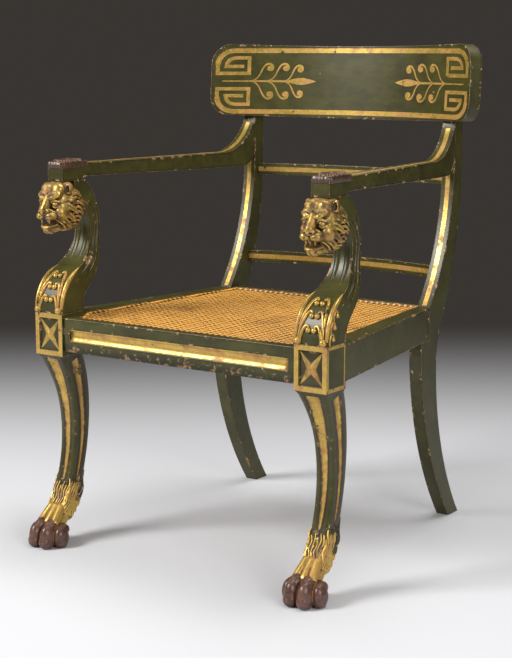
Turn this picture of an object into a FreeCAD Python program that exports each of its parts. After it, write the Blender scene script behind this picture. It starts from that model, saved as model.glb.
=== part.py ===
import FreeCAD, Part
import math
import os
import re

import Sketcher

# Painted and parcel-gilt open armchair with lion masks, paw feet and a caned seat.
# Millimetres, +Z up, +Y towards the back, +X to the right of someone facing the chair.
# The origin lies on the floor, under the middle of the chair's box.

Vector = FreeCAD.Vector
UP = Vector(0, 0, 1)
doc = FreeCAD.newDocument("painted_armchair")

# Driving dimensions: name, size in millimetres or degrees, meaning.
SIZES = [
    ("front_width", 585, "over the two front leg blocks"),
    ("rear_width", 452, "over the two rear legs"),
    ("leg_reach", 571, "from the block faces back to the rear heels"),
    ("toe_reach", 47, "from the block faces forward to the toe tips"),
    ("seat_height", 398, "floor to the top of the seat rails"),
    ("fit_gap", 0.2, "clearance round every tenon, dowel and screw"),
    ("tool_margin", 2, "saw cuts and gouges beyond the face they enter"),
    ("tenon_root", 1, "root of a tenon inside its own rail"),
    # Front legs
    ("block_width", 59, "front leg block across"),
    ("block_depth", 55, "front leg block front to back"),
    ("block_rise", 6, "block top above the seat rails"),
    ("block_drop", 9, "block bottom below the seat rails"),
    ("block_panel_margin", 8, "frame round the sunk star panel"),
    ("block_panel_depth", 3, "depth of the sunk star panel"),
    ("block_star_waist", 8.5, "half width of the star between its points"),
    ("leg_top_inset", 1.5, "leg narrower than its block on each side"),
    ("leg_hollow", 39, "depth of the hollow front of the leg"),
    ("leg_bulge", 29, "back of the leg beyond the back of the block"),
    ("leg_bulge_drop", 97, "most of the bulge below the block"),
    ("leg_waist", 35, "leg across at its slimmest stretch"),
    ("leg_waist_drop", 97, "slim stretch begins below the block"),
    ("ankle_width", 32, "ankle across"),
    ("ankle_height", 110, "floor to the slimmest point of the ankle"),
    ("ankle_front", 9, "front of the ankle behind the block face"),
    ("ankle_front_height", 69, "floor to the top of the carved fur"),
    ("hock_front", 3, "front of the hock, at the paw, behind the block face"),
    ("hock_depth", 27, "hock front to back where it enters the paw"),
    ("hock_width", 38, "hock across where it enters the paw"),
    ("hock_height", 30, "floor to the end of the leg inside the paw"),
    ("flute_width", 21, "gilt flute across at its top"),
    ("flute_side_width", 16, "side flute across at its top"),
    ("flute_depth", 3.5, "depth of a flute at its top"),
    ("flute_margin", 12, "flute top below the block"),
    ("flute_foot_height", 92, "floor to the point of a flute"),
    ("paw_width", 67, "paw across"),
    ("paw_height", 44, "floor to the knuckles"),
    ("paw_heel", 30, "heel of the paw behind the block face"),
    # Seat frame
    ("rail_height", 57, "seat rail top to bottom"),
    ("rail_setback", 4, "rail faces behind the block faces"),
    ("rail_wall", 18, "front rail wall in front of the cane"),
    ("rail_ledge", 22, "front rail ledge under the cane"),
    ("ledge_thickness", 20, "thickness of the ledges under the cane"),
    ("rear_rail_depth", 30, "rear rail front to back"),
    ("rear_rail_ledge", 13, "rear rail ledge under the cane"),
    ("side_rail_lap", 12, "side rail inwards of the rear leg"),
    ("rail_hollow_height", 21, "gilt hollow of the front rail top to bottom"),
    ("rail_hollow_depth", 5, "depth of the gilt hollow"),
    ("rail_hollow_margin", 13, "end of the hollow from the leg block"),
    ("tenon_length", 16, "tenons into the front leg blocks"),
    ("tenon_thickness", 11, "tenon thickness"),
    ("tenon_shoulder", 11, "shoulder above and below a tenon"),
    ("rear_tenon_length", 14, "tenons of the rear rail"),
    ("hip_tenon_bite", 6, "side rail tenon behind the front of the stile"),
    ("cane_recess", 5, "cane bed below the rail tops"),
    ("cane_thickness", 2.4, "woven cane"),
    ("cane_corner_clear", 1.5, "cane corner from the leg block"),
    ("cane_corner_slope", 0.57, "slant of the cut corner beside the leg block"),
    ("cane_corner_back", 23, "end of the cut corner behind the leg block"),
    ("cane_stile_clear", 4, "cane from the rear leg"),
    ("cane_pitch", 25.4, "pitch of the gaps in the woven cane"),
    ("cane_gap", 15, "gap in the woven cane across"),
    ("cane_margin", 12, "close woven border of the cane"),
    ("binding_width", 7, "cane binding across"),
    ("binding_thickness", 1.8, "cane binding"),
    ("hole_bore", 5, "bore of the cane holes"),
    ("hole_pitch", 12.7, "spacing of the cane holes"),
    ("hole_inset", 6, "cane holes from the edge of the cane"),
    ("brace_reach", 60, "corner brace along a rail"),
    ("brace_height", 26, "corner brace top to bottom"),
    ("screw_bore", 4, "shank of a wood screw"),
    ("screw_head", 8, "head of a wood screw"),
    ("screw_bite", 12, "length of a wood screw in the second piece"),
    ("screw_seat", 12, "wood under the head of a brace screw"),
    ("brace_screw_reach", 18, "front brace screws from the turn of the brace"),
    ("rear_screw_reach", 24, "rear rail screw from the corner of its brace"),
    ("hip_screw_reach", 17, "side rail screw from the front end of the rear brace"),
    # Rear legs with their stiles
    ("stile_width", 24, "rear leg across"),
    ("heel_depth", 36, "rear foot front to back"),
    ("rear_leg_sweep", 570, "radius of the front of the rear leg below the seat"),
    ("knee_reach", 152, "foremost point of the rear leg from its heel"),
    ("knee_drop", 83, "foremost point below the seat rail tops"),
    ("hip_reach", 126, "front of the stile at the seat from the heel"),
    ("hip_drop", 3, "that point below the seat rail tops"),
    ("shin_reach", 96, "foremost point of the leg's back from its heel"),
    ("shin_drop", 98, "that point below the seat rail tops"),
    ("rump_reach", 79, "turn of the stile's back from the heel"),
    ("rump_drop", 28, "that turn below the seat rail tops"),
    ("stile_reach", 42, "front of the upper stile from the heel"),
    ("stile_depth", 28.5, "upper stile front to back"),
    ("stile_straight_drop", 72, "straight stretch of the stile below the crest"),
    ("tongue_height", 86, "stile tongue behind the crest"),
    ("crest_screw_low", 30, "lower crest screws above the bottom of the crest"),
    ("crest_screw_high", 64, "upper crest screws above the bottom of the crest"),
    # Crest and back rails
    ("crest_width", 548, "crest tablet end to end"),
    ("crest_height", 133, "crest tablet top to bottom"),
    ("crest_thickness", 22, "crest tablet front to back"),
    ("crest_radius", 500, "hollow front of the crest in plan"),
    ("crest_forward", 7, "middle of the crest's front before the heels"),
    ("crest_rake", 4, "lean of the crest, degrees"),
    ("crest_top_round", 40, "top corners of the crest"),
    ("crest_bottom_round", 32, "bottom corners of the crest"),
    ("back_rail_height", 22, "back rail top to bottom"),
    ("back_rail_thickness", 13, "back rail front to back"),
    ("back_rail_radius", 680, "hollow front of the back rails in plan"),
    ("back_rail_tenon", 10, "back rail tenon into a stile"),
    ("upper_rail_drop", 110, "bottom of the upper back rail below the crest"),
    ("upper_rail_inset", 9, "ends of the upper rail behind the stile front"),
    ("lower_rail_rise", 44, "bottom of the lower back rail above the seat rails"),
    ("lower_rail_reach", 66, "ends of the lower rail before the heels"),
    # Arms and their supports
    ("arm_rise", 222, "underside of the arm above the block"),
    ("arm_depth", 28, "arm top to bottom"),
    ("crest_rise", 63, "bottom of the crest above the arm"),
    ("post_width", 32, "arm across at its front post"),
    ("post_front", 25, "front of the post behind the block face"),
    ("post_depth", 37, "post front to back"),
    ("arm_sweep", 96, "hollow of the arm's rise to the crest"),
    ("arm_sweep_run", 81, "length of that rise along the arm"),
    ("arm_heel_run", 36, "rounded underside at the stile along the arm"),
    ("arm_heel_rise", 22, "rounded underside at the stile upwards"),
    ("arm_tip", 0.5, "thickness of the arm's tip under the crest"),
    ("arm_tip_rise", 8, "blank of that tip above the bottom of the crest"),
    ("arm_tenon_length", 12, "arm tenon into the stile"),
    ("arm_tenon_rise", 4, "arm tenon above the rounded underside"),
    ("arm_tenon_height", 34, "arm tenon top to bottom"),
    ("arm_tenon_width", 11, "arm tenon across"),
    ("cap_overhang", 3, "carved cap beyond the post"),
    ("cap_tail", 9, "carved cap further back along the arm"),
    ("cap_thickness", 5, "carved cap at its petals"),
    ("cap_boss", 4, "centre of the cap above its petals"),
    ("chest_reach", 46, "turn of the support's breast behind the block face"),
    ("chest_rise", 72, "that turn above the block"),
    ("throat_reach", 93, "hollow of the neck behind the block face"),
    ("throat_rise", 141, "that hollow above the block"),
    ("nape_reach", 118, "back of the neck behind the block face"),
    ("nape_rise", 144, "that point above the block"),
    ("loin_reach", 74, "turn of the support's back behind the block face"),
    ("loin_rise", 41, "that turn above the block"),
    ("mask_seat_reach", 54, "seat of the mask behind the block face"),
    ("mask_seat_drop", 38, "foot of that seat below the arm"),
    ("neck_back_reach", 82, "back of the neck under the arm behind the block face"),
    ("neck_width", 34, "neck across"),
    ("breast_width", 57, "support across at its breast"),
    ("breast_rise", 51, "widest stretch of the support above the block"),
    ("neck_turn_rise", 91, "middle of the taper above the block"),
    ("neck_rise", 131, "slim stretch begins above the block"),
    ("neck_turn_width", 45, "support across at the middle of its taper"),
    ("reed_width", 7, "grooves between the reeds of the neck across"),
    ("reed_depth", 2.2, "depth of those grooves"),
    ("dowel_bore", 10, "dowels"),
    ("dowel_bite", 20, "dowel in each piece"),
    ("arm_dowel_length", 32, "dowel between a support and its arm"),
    # Lion masks
    ("mask_width", 66, "mask across its mane"),
    ("mask_height", 86, "mask chin to crown"),
    ("mask_depth", 82, "mask nose to the back of the mane"),
    ("mask_nose_reach", 10, "nose before the block face"),
]

sheet = doc.addObject("Spreadsheet::Sheet", "Sizes")
for row, (alias, number, meaning) in enumerate(SIZES, start=1):
    sheet.set(f"A{row}", meaning)
    sheet.set(f"B{row}", str(number))
    sheet.setAlias(f"B{row}", alias)
doc.recompute()
ALIASES = {alias for alias, number, meaning in SIZES}
WORD = re.compile(r"[a-z][a-z_]*")


def bound(text):
    """A formula in the sheet's words, with each word pointing at its cell."""
    return WORD.sub(lambda word: "Sizes." + word[0] if word[0] in ALIASES else word[0], str(text))


def size(text):
    """The number that a formula gives."""
    return float(sheet.evalExpression(bound(text)))


# Main planes and points, as formulas in the sheet's words
REAR_MOST = ("(leg_reach - crest_forward + crest_thickness*cos(crest_rake*1deg)"
             " + crest_height*sin(crest_rake*1deg))")
FRONT = f"((toe_reach - {REAR_MOST})/2)"
HEEL = f"({FRONT} + leg_reach)"
BLOCK_TOP = "(seat_height + block_rise)"
BLOCK_BOTTOM = "(seat_height - rail_height - block_drop)"
RAIL_BOTTOM = "(seat_height - rail_height)"
BLOCK_BACK = f"({FRONT} + block_depth)"
BLOCK_INSIDE = "(front_width/2 - block_width)"
BLOCK_MIDDLE = "(front_width/2 - block_width/2)"
STILE_INSIDE = "(rear_width/2 - stile_width)"
STILE_MIDDLE = "(rear_width/2 - stile_width/2)"
HIP = f"({HEEL} - hip_reach)"
STILE_FRONT = f"({HEEL} - stile_reach)"
ARM_BOTTOM = f"({BLOCK_TOP} + arm_rise)"
ARM_TOP = f"({ARM_BOTTOM} + arm_depth)"
CREST_BOTTOM = f"({ARM_TOP} + crest_rise)"
CREST_FRONT = f"({HEEL} - crest_forward)"
CREST_CORE = (f"({CREST_FRONT} - crest_radius + sqrt(crest_radius^2 - {STILE_MIDDLE}^2)"
              " + crest_thickness/2)")
CANE_BED = "(seat_height - cane_recess)"
LEDGE_BOTTOM = f"({CANE_BED} - ledge_thickness)"
CANE_FRONT = f"({FRONT} + rail_setback + rail_wall)"
REAR_RAIL_FRONT = f"({HIP} + hip_drop)"
CANE_REAR = f"({REAR_RAIL_FRONT} + rear_rail_ledge)"


def arc_radius(run, rise):
    """Radius of an arc that starts square to run and covers run and rise."""
    return f"((({run})^2 + ({rise})^2)/(2*abs({run})))"


# Sketched outlines
def arc_centre(start, end, radius, side):
    """Centre of an arc, on the left (1) or right (-1) of the way from start to end."""
    chord = end - start
    middle = (start + end) / 2
    height = math.sqrt(max(radius**2 - (chord.Length / 2)**2, 0.0))
    left = Vector(-chord.y, chord.x, 0).normalize()
    return middle + left * (side * height)


def edge_curve(start, end, bend):
    """A line, or the short arc that bend = (radius formula, side) describes."""
    if bend is None:
        return Part.LineSegment(start, end)
    radius = size(bend[0])
    centre = arc_centre(start, end, radius, bend[1])
    circle = Part.Circle(centre, Vector(0, 0, 1), radius)
    if bend[1] > 0:
        return Part.ArcOfCircle(circle, circle.parameter(start), circle.parameter(end))
    return Part.ArcOfCircle(circle, circle.parameter(end), circle.parameter(start))


def sketch(body, name, role, corners, height="0"):
    """A closed outline of corners (across, up[, radius, side]) with every point bound to the sheet."""
    outline = body.newObject("Sketcher::SketchObject", name)
    plane = next(item for item in body.Origin.OriginFeatures if item.Role == role)
    outline.AttachmentSupport = [(plane, "")]
    outline.MapMode = "FlatFace"
    outline.setExpression("AttachmentOffset.Base.z", bound(height))
    points = [Vector(size(corner[0]), size(corner[1]), 0) for corner in corners]
    bends = [tuple(corner[2:4]) if len(corner) > 2 else None for corner in corners]
    count = len(corners)
    for index in range(count):
        outline.addGeometry(edge_curve(points[index], points[(index + 1) % count], bends[index]))

    def tip(index, at_end):
        bend = bends[index]
        backwards = bend is not None and bend[1] < 0
        return 2 if at_end != backwards else 1

    for index in range(count):
        follower = (index + 1) % count
        joint = Sketcher.Constraint("Coincident", index, tip(index, True), follower, tip(follower, False))
        outline.addConstraint(joint)
    for index in range(count):
        for axis, kind in enumerate(("DistanceX", "DistanceY")):
            value = (points[index].x, points[index].y)[axis]
            place = outline.addConstraint(
                Sketcher.Constraint(kind, -1, 1, index, tip(index, False), value))
            outline.setExpression(f"Constraints[{place}]", bound(corners[index][axis]))
        if bends[index] is not None:
            place = outline.addConstraint(Sketcher.Constraint("Radius", index, size(bends[index][0])))
            outline.setExpression(f"Constraints[{place}]", bound(bends[index][0]))
    return outline


def both_sides(half, middle="0"):
    """A symmetric outline from its right half, given from bottom to top as offsets from the middle."""
    right = [(f"{middle} + {corner[0]}",) + tuple(corner[1:]) for corner in half]
    left = []
    for index in range(len(half) - 1, -1, -1):
        corner = half[index]
        bend = tuple(half[index - 1][2:4]) if index > 0 else ()
        left.append((f"{middle} - {corner[0]}", corner[1]) + bend)
    return right + left


def board(name, role, corners, thickness, middle):
    """A piece sawn to one outline, with its thickness laid equally about a middle plane."""
    body = doc.addObject("PartDesign::Body", name)
    profile = sketch(body, name + "_outline", role, corners, middle)
    pad = body.newObject("PartDesign::Pad", name + "_pad")
    pad.Profile = profile
    pad.SideType = "Symmetric"
    pad.setExpression("Length", bound(thickness))
    doc.recompute()
    return body


def span_at(board_name, level):
    """The lowest and highest place across a board's outline at a height."""
    face = Part.Face(doc.getObject(board_name + "_outline").Shape)
    box = face.BoundBox
    start = Vector(box.XMin, box.YMin, level)
    end = Vector(box.XMax, box.YMax, level)
    across = face.common(Part.makeLine(start, end)).BoundBox
    return (across.XMin, across.XMax) if box.XLength > box.YLength else (across.YMin, across.YMax)


def groove(name, line, outward, widths, depth):
    """A round-bottomed groove along a line of surface points, with its width at each of them."""
    rings = []
    last = len(line) - 1
    for index, (point, width) in enumerate(zip(line, widths)):
        way = line[min(index + 1, last)] - line[max(index - 1, 0)]
        sink = depth*width/max(widths)
        radius = (width**2/4 + sink**2)/(2*sink)
        rings.append(Part.Wire(Part.makeCircle(radius, point + outward*(radius - sink), way)))
    return feature(name, Part.makeLoft(rings, True))


def levels_between(top, bottom, count):
    return [top + (bottom - top)*step/(count - 1) for step in range(count)]


def slab(name, corners, bottom, top):
    """A flat piece sawn to a plan outline between two heights."""
    return board(name, "XY_Plane", corners, f"({top}) - ({bottom})", f"(({top}) + ({bottom}))/2")


def block(name, x_span, y_span, z_span):
    """A square block between two formulas on each axis."""
    box = doc.addObject("Part::Box", name)
    for side, axis, (low, high) in zip(("Length", "Width", "Height"), "xyz", (x_span, y_span, z_span)):
        box.setExpression(side, bound(f"({high}) - ({low})"))
        box.setExpression(f"Placement.Base.{axis}", bound(low))
    return box


def rod(name, bore, length, base, direction=Vector(0, 0, 1)):
    """A round rod of a diameter and length from a base point along a direction."""
    cylinder = doc.addObject("Part::Cylinder", name)
    cylinder.Placement = FreeCAD.Placement(Vector(), FreeCAD.Rotation(Vector(0, 0, 1), direction))
    cylinder.setExpression("Radius", bound(f"({bore})/2"))
    cylinder.setExpression("Height", bound(length))
    for axis, place in zip("xyz", base):
        cylinder.setExpression(f"Placement.Base.{axis}", bound(place))
    return cylinder


def feature(name, shape):
    """A carved or drilled form whose shape is worked out here from the sheet."""
    form = doc.addObject("Part::Feature", name)
    form.Shape = shape
    return form


def fused(name, pieces):
    whole = doc.addObject("Part::MultiFuse", name)
    whole.Shapes = pieces
    return whole


def cut(name, base, tools):
    """A piece less one tool or several."""
    result = doc.addObject("Part::Cut", name)
    result.Base = base
    result.Tool = tools[0] if len(tools) == 1 else fused(name + "_tools", tools)
    return result


def crossed(name, first, second):
    """A piece sawn to two outlines at right angles."""
    result = doc.addObject("Part::MultiCommon", name)
    result.Shapes = [first, second]
    return result


def mirrored(name, source):
    """The left hand of a right-hand piece."""
    twin = doc.addObject("Part::Mirroring", name)
    twin.Source = source
    twin.Normal = Vector(1, 0, 0)
    return twin


def pair(name, right_piece):
    """Name a right-hand piece and make its left-hand twin."""
    right_piece.Label = name + "_right"
    nodes.append(right_piece)
    nodes.append(mirrored(name + "_left", right_piece))


def single(name, piece):
    piece.Label = name
    nodes.append(piece)


nodes = []


# Crest tablet: a board curved in plan, with rounded corners, leaning back
def crest_arc(radius_text):
    """Front or back corner of the crest in plan, before it leans: half width and distance forward."""
    reach = f"(crest_width/2*({radius_text})/crest_radius)"
    return reach, f"(sqrt(({radius_text})^2 - {reach}^2) - crest_radius)"


def make_crest():
    body = doc.addObject("PartDesign::Body", "crest_board")
    front_x, front_y = crest_arc("crest_radius")
    back_x, back_y = crest_arc("crest_radius + crest_thickness")
    plan = [
        (f"-{front_x}", front_y, "crest_radius", -1),
        (front_x, front_y),
        (back_x, back_y, "crest_radius + crest_thickness", 1),
        (f"-{back_x}", back_y),
    ]
    pad = body.newObject("PartDesign::Pad", "crest_pad")
    pad.Profile = sketch(body, "crest_plan", "XY_Plane", plan)
    pad.setExpression("Length", bound("crest_height"))
    doc.recompute()
    last = pad
    for name, radius, level in (("top", "crest_top_round", size("crest_height")),
                                ("bottom", "crest_bottom_round", 0.0)):
        ends = []
        for number, edge in enumerate(last.Shape.Edges, start=1):
            box = edge.BoundBox
            flat = abs(box.ZMin - level) < 0.01 and abs(box.ZMax - level) < 0.01
            if flat and edge.Length < size("crest_thickness")*1.5:
                ends.append(f"Edge{number}")
        corner = body.newObject("PartDesign::Fillet", f"crest_{name}_corners")
        corner.Base = (last, ends)
        corner.setExpression("Radius", bound(radius))
        doc.recompute()
        last = corner
    body.Placement = FreeCAD.Placement(Vector(), FreeCAD.Rotation(Vector(-1, 0, 0), size("crest_rake")))
    body.setExpression("Placement.Rotation.Angle", bound("crest_rake*1deg"))
    body.setExpression("Placement.Base.y", bound(CREST_FRONT))
    body.setExpression("Placement.Base.z", bound(CREST_BOTTOM))
    doc.recompute()
    return body


crest_board = make_crest()


# Rear legs: sabre leg, hip and stile sawn from one plank
def make_rear_leg():
    knee_y, knee_z = f"{HEEL} - knee_reach", "seat_height - knee_drop"
    hip_z = "seat_height - hip_drop"
    straight_z = f"{CREST_BOTTOM} - stile_straight_drop"
    shin_y, shin_z = f"{HEEL} - shin_reach", "seat_height - shin_drop"
    rump_y, rump_z = f"{HEEL} - rump_reach", "seat_height - rump_drop"
    back_y = f"{STILE_FRONT} + stile_depth"
    top_z = f"{CREST_BOTTOM} + tongue_height"
    outline = [
        (f"{HEEL} - heel_depth", "0", "rear_leg_sweep", -1),
        (knee_y, knee_z, arc_radius("knee_reach - hip_reach", "knee_drop - hip_drop"), -1),
        (HIP, hip_z, arc_radius("hip_reach - stile_reach", f"{straight_z} - ({hip_z})"), 1),
        (STILE_FRONT, straight_z),
        (STILE_FRONT, f"{CREST_BOTTOM} + crest_thickness/2"),
        (CREST_CORE, f"{CREST_BOTTOM} + crest_thickness/2"),
        (f"{CREST_CORE} + tongue_height*tan(crest_rake*1deg)", top_z),
        (back_y, top_z),
        (back_y, straight_z,
         arc_radius("rump_reach - stile_reach + stile_depth", f"{straight_z} - ({rump_z})"), -1),
        (rump_y, rump_z, arc_radius("shin_reach - rump_reach", "shin_drop - rump_drop"), 1),
        (shin_y, shin_z, arc_radius("shin_reach", shin_z), 1),
        (HEEL, "0"),
    ]
    return board("rear_leg_plank", "YZ_Plane", outline, "stile_width", STILE_MIDDLE)


rear_leg_plank = make_rear_leg()

# Tenons shared by the pieces they join: each is a block, and its mortise is the same block with the gap
TENON_LOW = f"({RAIL_BOTTOM} + tenon_shoulder)"
TENON_HIGH = f"({LEDGE_BOTTOM} - fit_gap)"


def tenon(name, x_span, y_span, z_span):
    """A tenon and the mortise that takes it with the fitting gap all round."""
    mortise_spans = [(f"{low} - fit_gap", f"{high} + fit_gap") for low, high in (x_span, y_span, z_span)]
    return block(name, x_span, y_span, z_span), block(name + "_mortise", *mortise_spans)


front_tenon, front_mortise = tenon(
    "front_rail_tenon",
    (f"{BLOCK_INSIDE} - tenon_root", f"{BLOCK_INSIDE} + tenon_length"),
    (f"{FRONT} + rail_setback + (rail_wall - tenon_thickness)/2",
     f"{FRONT} + rail_setback + (rail_wall + tenon_thickness)/2"),
    (TENON_LOW, TENON_HIGH))
side_tenon, side_mortise = tenon(
    "side_rail_tenon",
    (f"{BLOCK_MIDDLE} - tenon_thickness/2", f"{BLOCK_MIDDLE} + tenon_thickness/2"),
    (f"{BLOCK_BACK} - tenon_length", f"{BLOCK_BACK} + tenon_root"),
    (TENON_LOW, TENON_HIGH))
hip_tenon, hip_mortise = tenon(
    "side_rail_hip_tenon",
    (f"{STILE_MIDDLE} - tenon_thickness/2", f"{STILE_MIDDLE} + tenon_thickness/2"),
    (f"{HIP} - tenon_length", f"{HIP} + hip_tenon_bite"),
    (TENON_LOW, TENON_HIGH))
rear_tenon, rear_mortise = tenon(
    "rear_rail_tenon",
    (f"{STILE_INSIDE} - tenon_root", f"{STILE_INSIDE} + rear_tenon_length"),
    (f"{REAR_RAIL_FRONT} + rear_rail_ledge", f"{REAR_RAIL_FRONT} + rear_rail_ledge + tenon_thickness"),
    (TENON_LOW, TENON_HIGH))
ARM_TENON_LOW = f"({ARM_BOTTOM} + arm_heel_rise + arm_tenon_rise)"
arm_tenon, arm_mortise = tenon(
    "arm_back_tenon",
    (f"{STILE_MIDDLE} - arm_tenon_width/2", f"{STILE_MIDDLE} + arm_tenon_width/2"),
    (f"{STILE_FRONT} - tenon_root", f"{STILE_FRONT} + arm_tenon_length"),
    (ARM_TENON_LOW, f"{ARM_TENON_LOW} + arm_tenon_height"))


# Cane bed: the plan outline that the cane, its recess and the rail ledges share
def cane_outline(grow):
    """Right half of the cane's plan from front to rear, larger by grow all round."""
    corner_x = f"({BLOCK_INSIDE} - cane_corner_clear)"
    corner_y = f"({BLOCK_BACK} + cane_corner_clear)"
    second_y = f"({BLOCK_BACK} + cane_corner_back)"
    first_x = f"({corner_x} - ({corner_y} - {CANE_FRONT})*cane_corner_slope)"
    second_x = f"({corner_x} + ({second_y} - {corner_y})*cane_corner_slope)"
    return [
        (f"({first_x} + ({grow})/2)", f"{CANE_FRONT} - ({grow})"),
        (f"({second_x} + ({grow}))", f"{second_y} - ({grow})/2"),
        (f"({STILE_INSIDE} - cane_stile_clear + ({grow}))", f"{CANE_REAR} + ({grow})"),
    ]


recess = slab("cane_recess_tool", both_sides(cane_outline("fit_gap")), CANE_BED, "seat_height + tool_margin")
hollow = slab("ledge_tool", both_sides(cane_outline("fit_gap")), f"{RAIL_BOTTOM} - tool_margin", LEDGE_BOTTOM)


def cane_hole_row(start, end):
    """Cane holes drilled down through a ledge along a straight row."""
    pitch = size("hole_pitch")
    count = int((end - start).Length // pitch)
    spare = ((end - start).Length - count*pitch)/2
    way = (end - start).normalize()
    low = size(f"{LEDGE_BOTTOM} - tool_margin")
    height = size("ledge_thickness + 2*tool_margin")
    holes = []
    for index in range(count + 1):
        place = start + way*(spare + index*pitch)
        holes.append(Part.makeCylinder(size("hole_bore")/2, height, Vector(place.x, place.y, low)))
    return Part.makeCompound(holes)


hole_line = [Vector(size(across), size(along), 0) for across, along in cane_outline("-hole_inset")]
front_holes = feature("front_cane_holes",
                      cane_hole_row(Vector(-hole_line[0].x, hole_line[0].y, 0), hole_line[0]))
side_holes = feature("side_cane_holes", cane_hole_row(hole_line[1], hole_line[2]))
rear_holes = feature("rear_cane_holes",
                     cane_hole_row(Vector(-hole_line[2].x, hole_line[2].y, 0), hole_line[2]))


# Screws: countersunk wood screws, each with its hole in the pieces that it joins
def wood_screw(seat, way, grip, gap):
    """A countersunk screw whose head is flush at seat and which points along way, larger by gap."""
    shank = size("screw_bore")/2 + gap
    head = size("screw_head")/2 + gap
    sink = head - shank
    cone = Part.makeCone(head, shank, sink, seat, way)
    body = Part.makeCylinder(shank, grip + gap, seat, way)
    return cone.fuse(body).removeSplitter()


def screws_and_holes(name, places):
    """A set of screws as one group of solids, and the drilled set that takes them."""
    gap = size("fit_gap")
    screws = [wood_screw(seat, way, grip, 0.0) for seat, way, grip in places]
    holes = [wood_screw(seat, way, grip, gap) for seat, way, grip in places]
    return feature(name, Part.makeCompound(screws)), feature(name + "_holes", Part.makeCompound(holes))


# Corner braces under the cane, glued in the corners and screwed into the rails
BRACE_LOW = f"({LEDGE_BOTTOM} - brace_height)"


def brace_plans():
    """Plans of the right-hand front and rear braces, against the walls of the rails."""
    wall = cane_outline("fit_gap")
    slant = f"(({wall[2][0]} - {wall[1][0]})/({wall[2][1]} - ({wall[1][1]})))"
    front = [
        (f"{wall[0][0]} - brace_reach", wall[0][1]),
        wall[0],
        wall[1],
        (f"{wall[1][0]} + {slant}*brace_reach", f"{wall[1][1]} + brace_reach"),
    ]
    rear = [
        (f"{wall[2][0]} - {slant}*brace_reach", f"{wall[2][1]} - brace_reach"),
        wall[2],
        (f"{wall[2][0]} - brace_reach", wall[2][1]),
    ]
    return front, rear


front_brace_plan, rear_brace_plan = brace_plans()


def brace_screw_places():
    """One screw from each brace into each of its two rails, its head in a pocket of the brace."""
    seat = size("screw_seat")
    grip = seat + size("screw_bite")
    level = size(f"{BRACE_LOW} + brace_height/2")
    front_wall = size(front_brace_plan[0][1])
    front_x = size(front_brace_plan[1][0]) - size("brace_screw_reach")
    side_y = size(front_brace_plan[2][1]) + size("brace_screw_reach")
    side_x = (size(front_brace_plan[2][0]) + size(front_brace_plan[3][0]))/2
    rear_wall = size(rear_brace_plan[1][1])
    rear_x = size(rear_brace_plan[1][0]) - size("rear_screw_reach")
    hip_y = size(rear_brace_plan[0][1]) + size("hip_screw_reach")
    hip_share = size("hip_screw_reach/brace_reach")
    hip_x = size(rear_brace_plan[0][0])*(1 - hip_share) + size(rear_brace_plan[1][0])*hip_share
    return [
        (Vector(front_x, front_wall + seat, level), Vector(0, -1, 0), grip),
        (Vector(side_x - seat, side_y, level), Vector(1, 0, 0), grip),
        (Vector(rear_x, rear_wall - seat, level), Vector(0, 1, 0), grip),
        (Vector(hip_x - seat, hip_y, level), Vector(1, 0, 0), grip),
    ]


def screw_pockets(places):
    """Round pockets that let each screw's head down to its seat."""
    reach = size("brace_reach")
    radius = size("screw_head/2 + fit_gap")
    return feature("brace_pockets", Part.makeCompound(
        [Part.makeCylinder(radius, reach, seat, way*-1) for seat, way, grip in places]))


right_places = brace_screw_places()
brace_screws, brace_holes = screws_and_holes("brace_screws_right", right_places)
pockets = screw_pockets(right_places)
brace_holes_left = mirrored("brace_holes_left", brace_holes)


# Seat rails
def make_front_rail():
    face = f"{FRONT} + rail_setback"
    blank = block("front_rail_blank", (f"-{BLOCK_INSIDE}", BLOCK_INSIDE),
                  (face, f"{face} + rail_wall + rail_ledge"), (RAIL_BOTTOM, "seat_height"))
    hollow_radius = arc_radius("rail_hollow_depth", "rail_hollow_height/2")
    cove = rod("front_rail_cove", f"2*{hollow_radius}", f"2*({BLOCK_INSIDE} - rail_hollow_margin)",
               (f"-({BLOCK_INSIDE} - rail_hollow_margin)", f"{face} + rail_hollow_depth - {hollow_radius}",
                f"{RAIL_BOTTOM} + rail_height/2"), Vector(1, 0, 0))
    tools = [recess, hollow, cove, front_holes, brace_holes, brace_holes_left]
    shaped = cut("front_rail_shaped", blank, tools)
    return fused("front_rail_whole", [shaped, front_tenon, mirrored("front_rail_tenon_left", front_tenon)])


def make_side_rail():
    plan = [
        ("front_width/2 - rail_setback", BLOCK_BACK),
        ("rear_width/2", REAR_RAIL_FRONT),
        (f"{STILE_INSIDE} - side_rail_lap", REAR_RAIL_FRONT),
        (BLOCK_INSIDE, BLOCK_BACK),
    ]
    blank = slab("side_rail_blank", plan, RAIL_BOTTOM, "seat_height")
    shaped = cut("side_rail_shaped", blank, [recess, hollow, rear_leg_plank, side_holes, brace_holes])
    return fused("side_rail_whole", [shaped, side_tenon, hip_tenon])


def make_rear_rail():
    blank = block("rear_rail_blank", (f"-{STILE_INSIDE}", STILE_INSIDE),
                  (REAR_RAIL_FRONT, f"{REAR_RAIL_FRONT} + rear_rail_depth"), (RAIL_BOTTOM, "seat_height"))
    shaped = cut("rear_rail_shaped", blank, [recess, hollow, rear_holes, brace_holes, brace_holes_left])
    return fused("rear_rail_whole", [shaped, rear_tenon, mirrored("rear_rail_tenon_left", rear_tenon)])


single("front_seat_rail", make_front_rail())
pair("side_seat_rail", make_side_rail())
single("rear_seat_rail", make_rear_rail())


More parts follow.
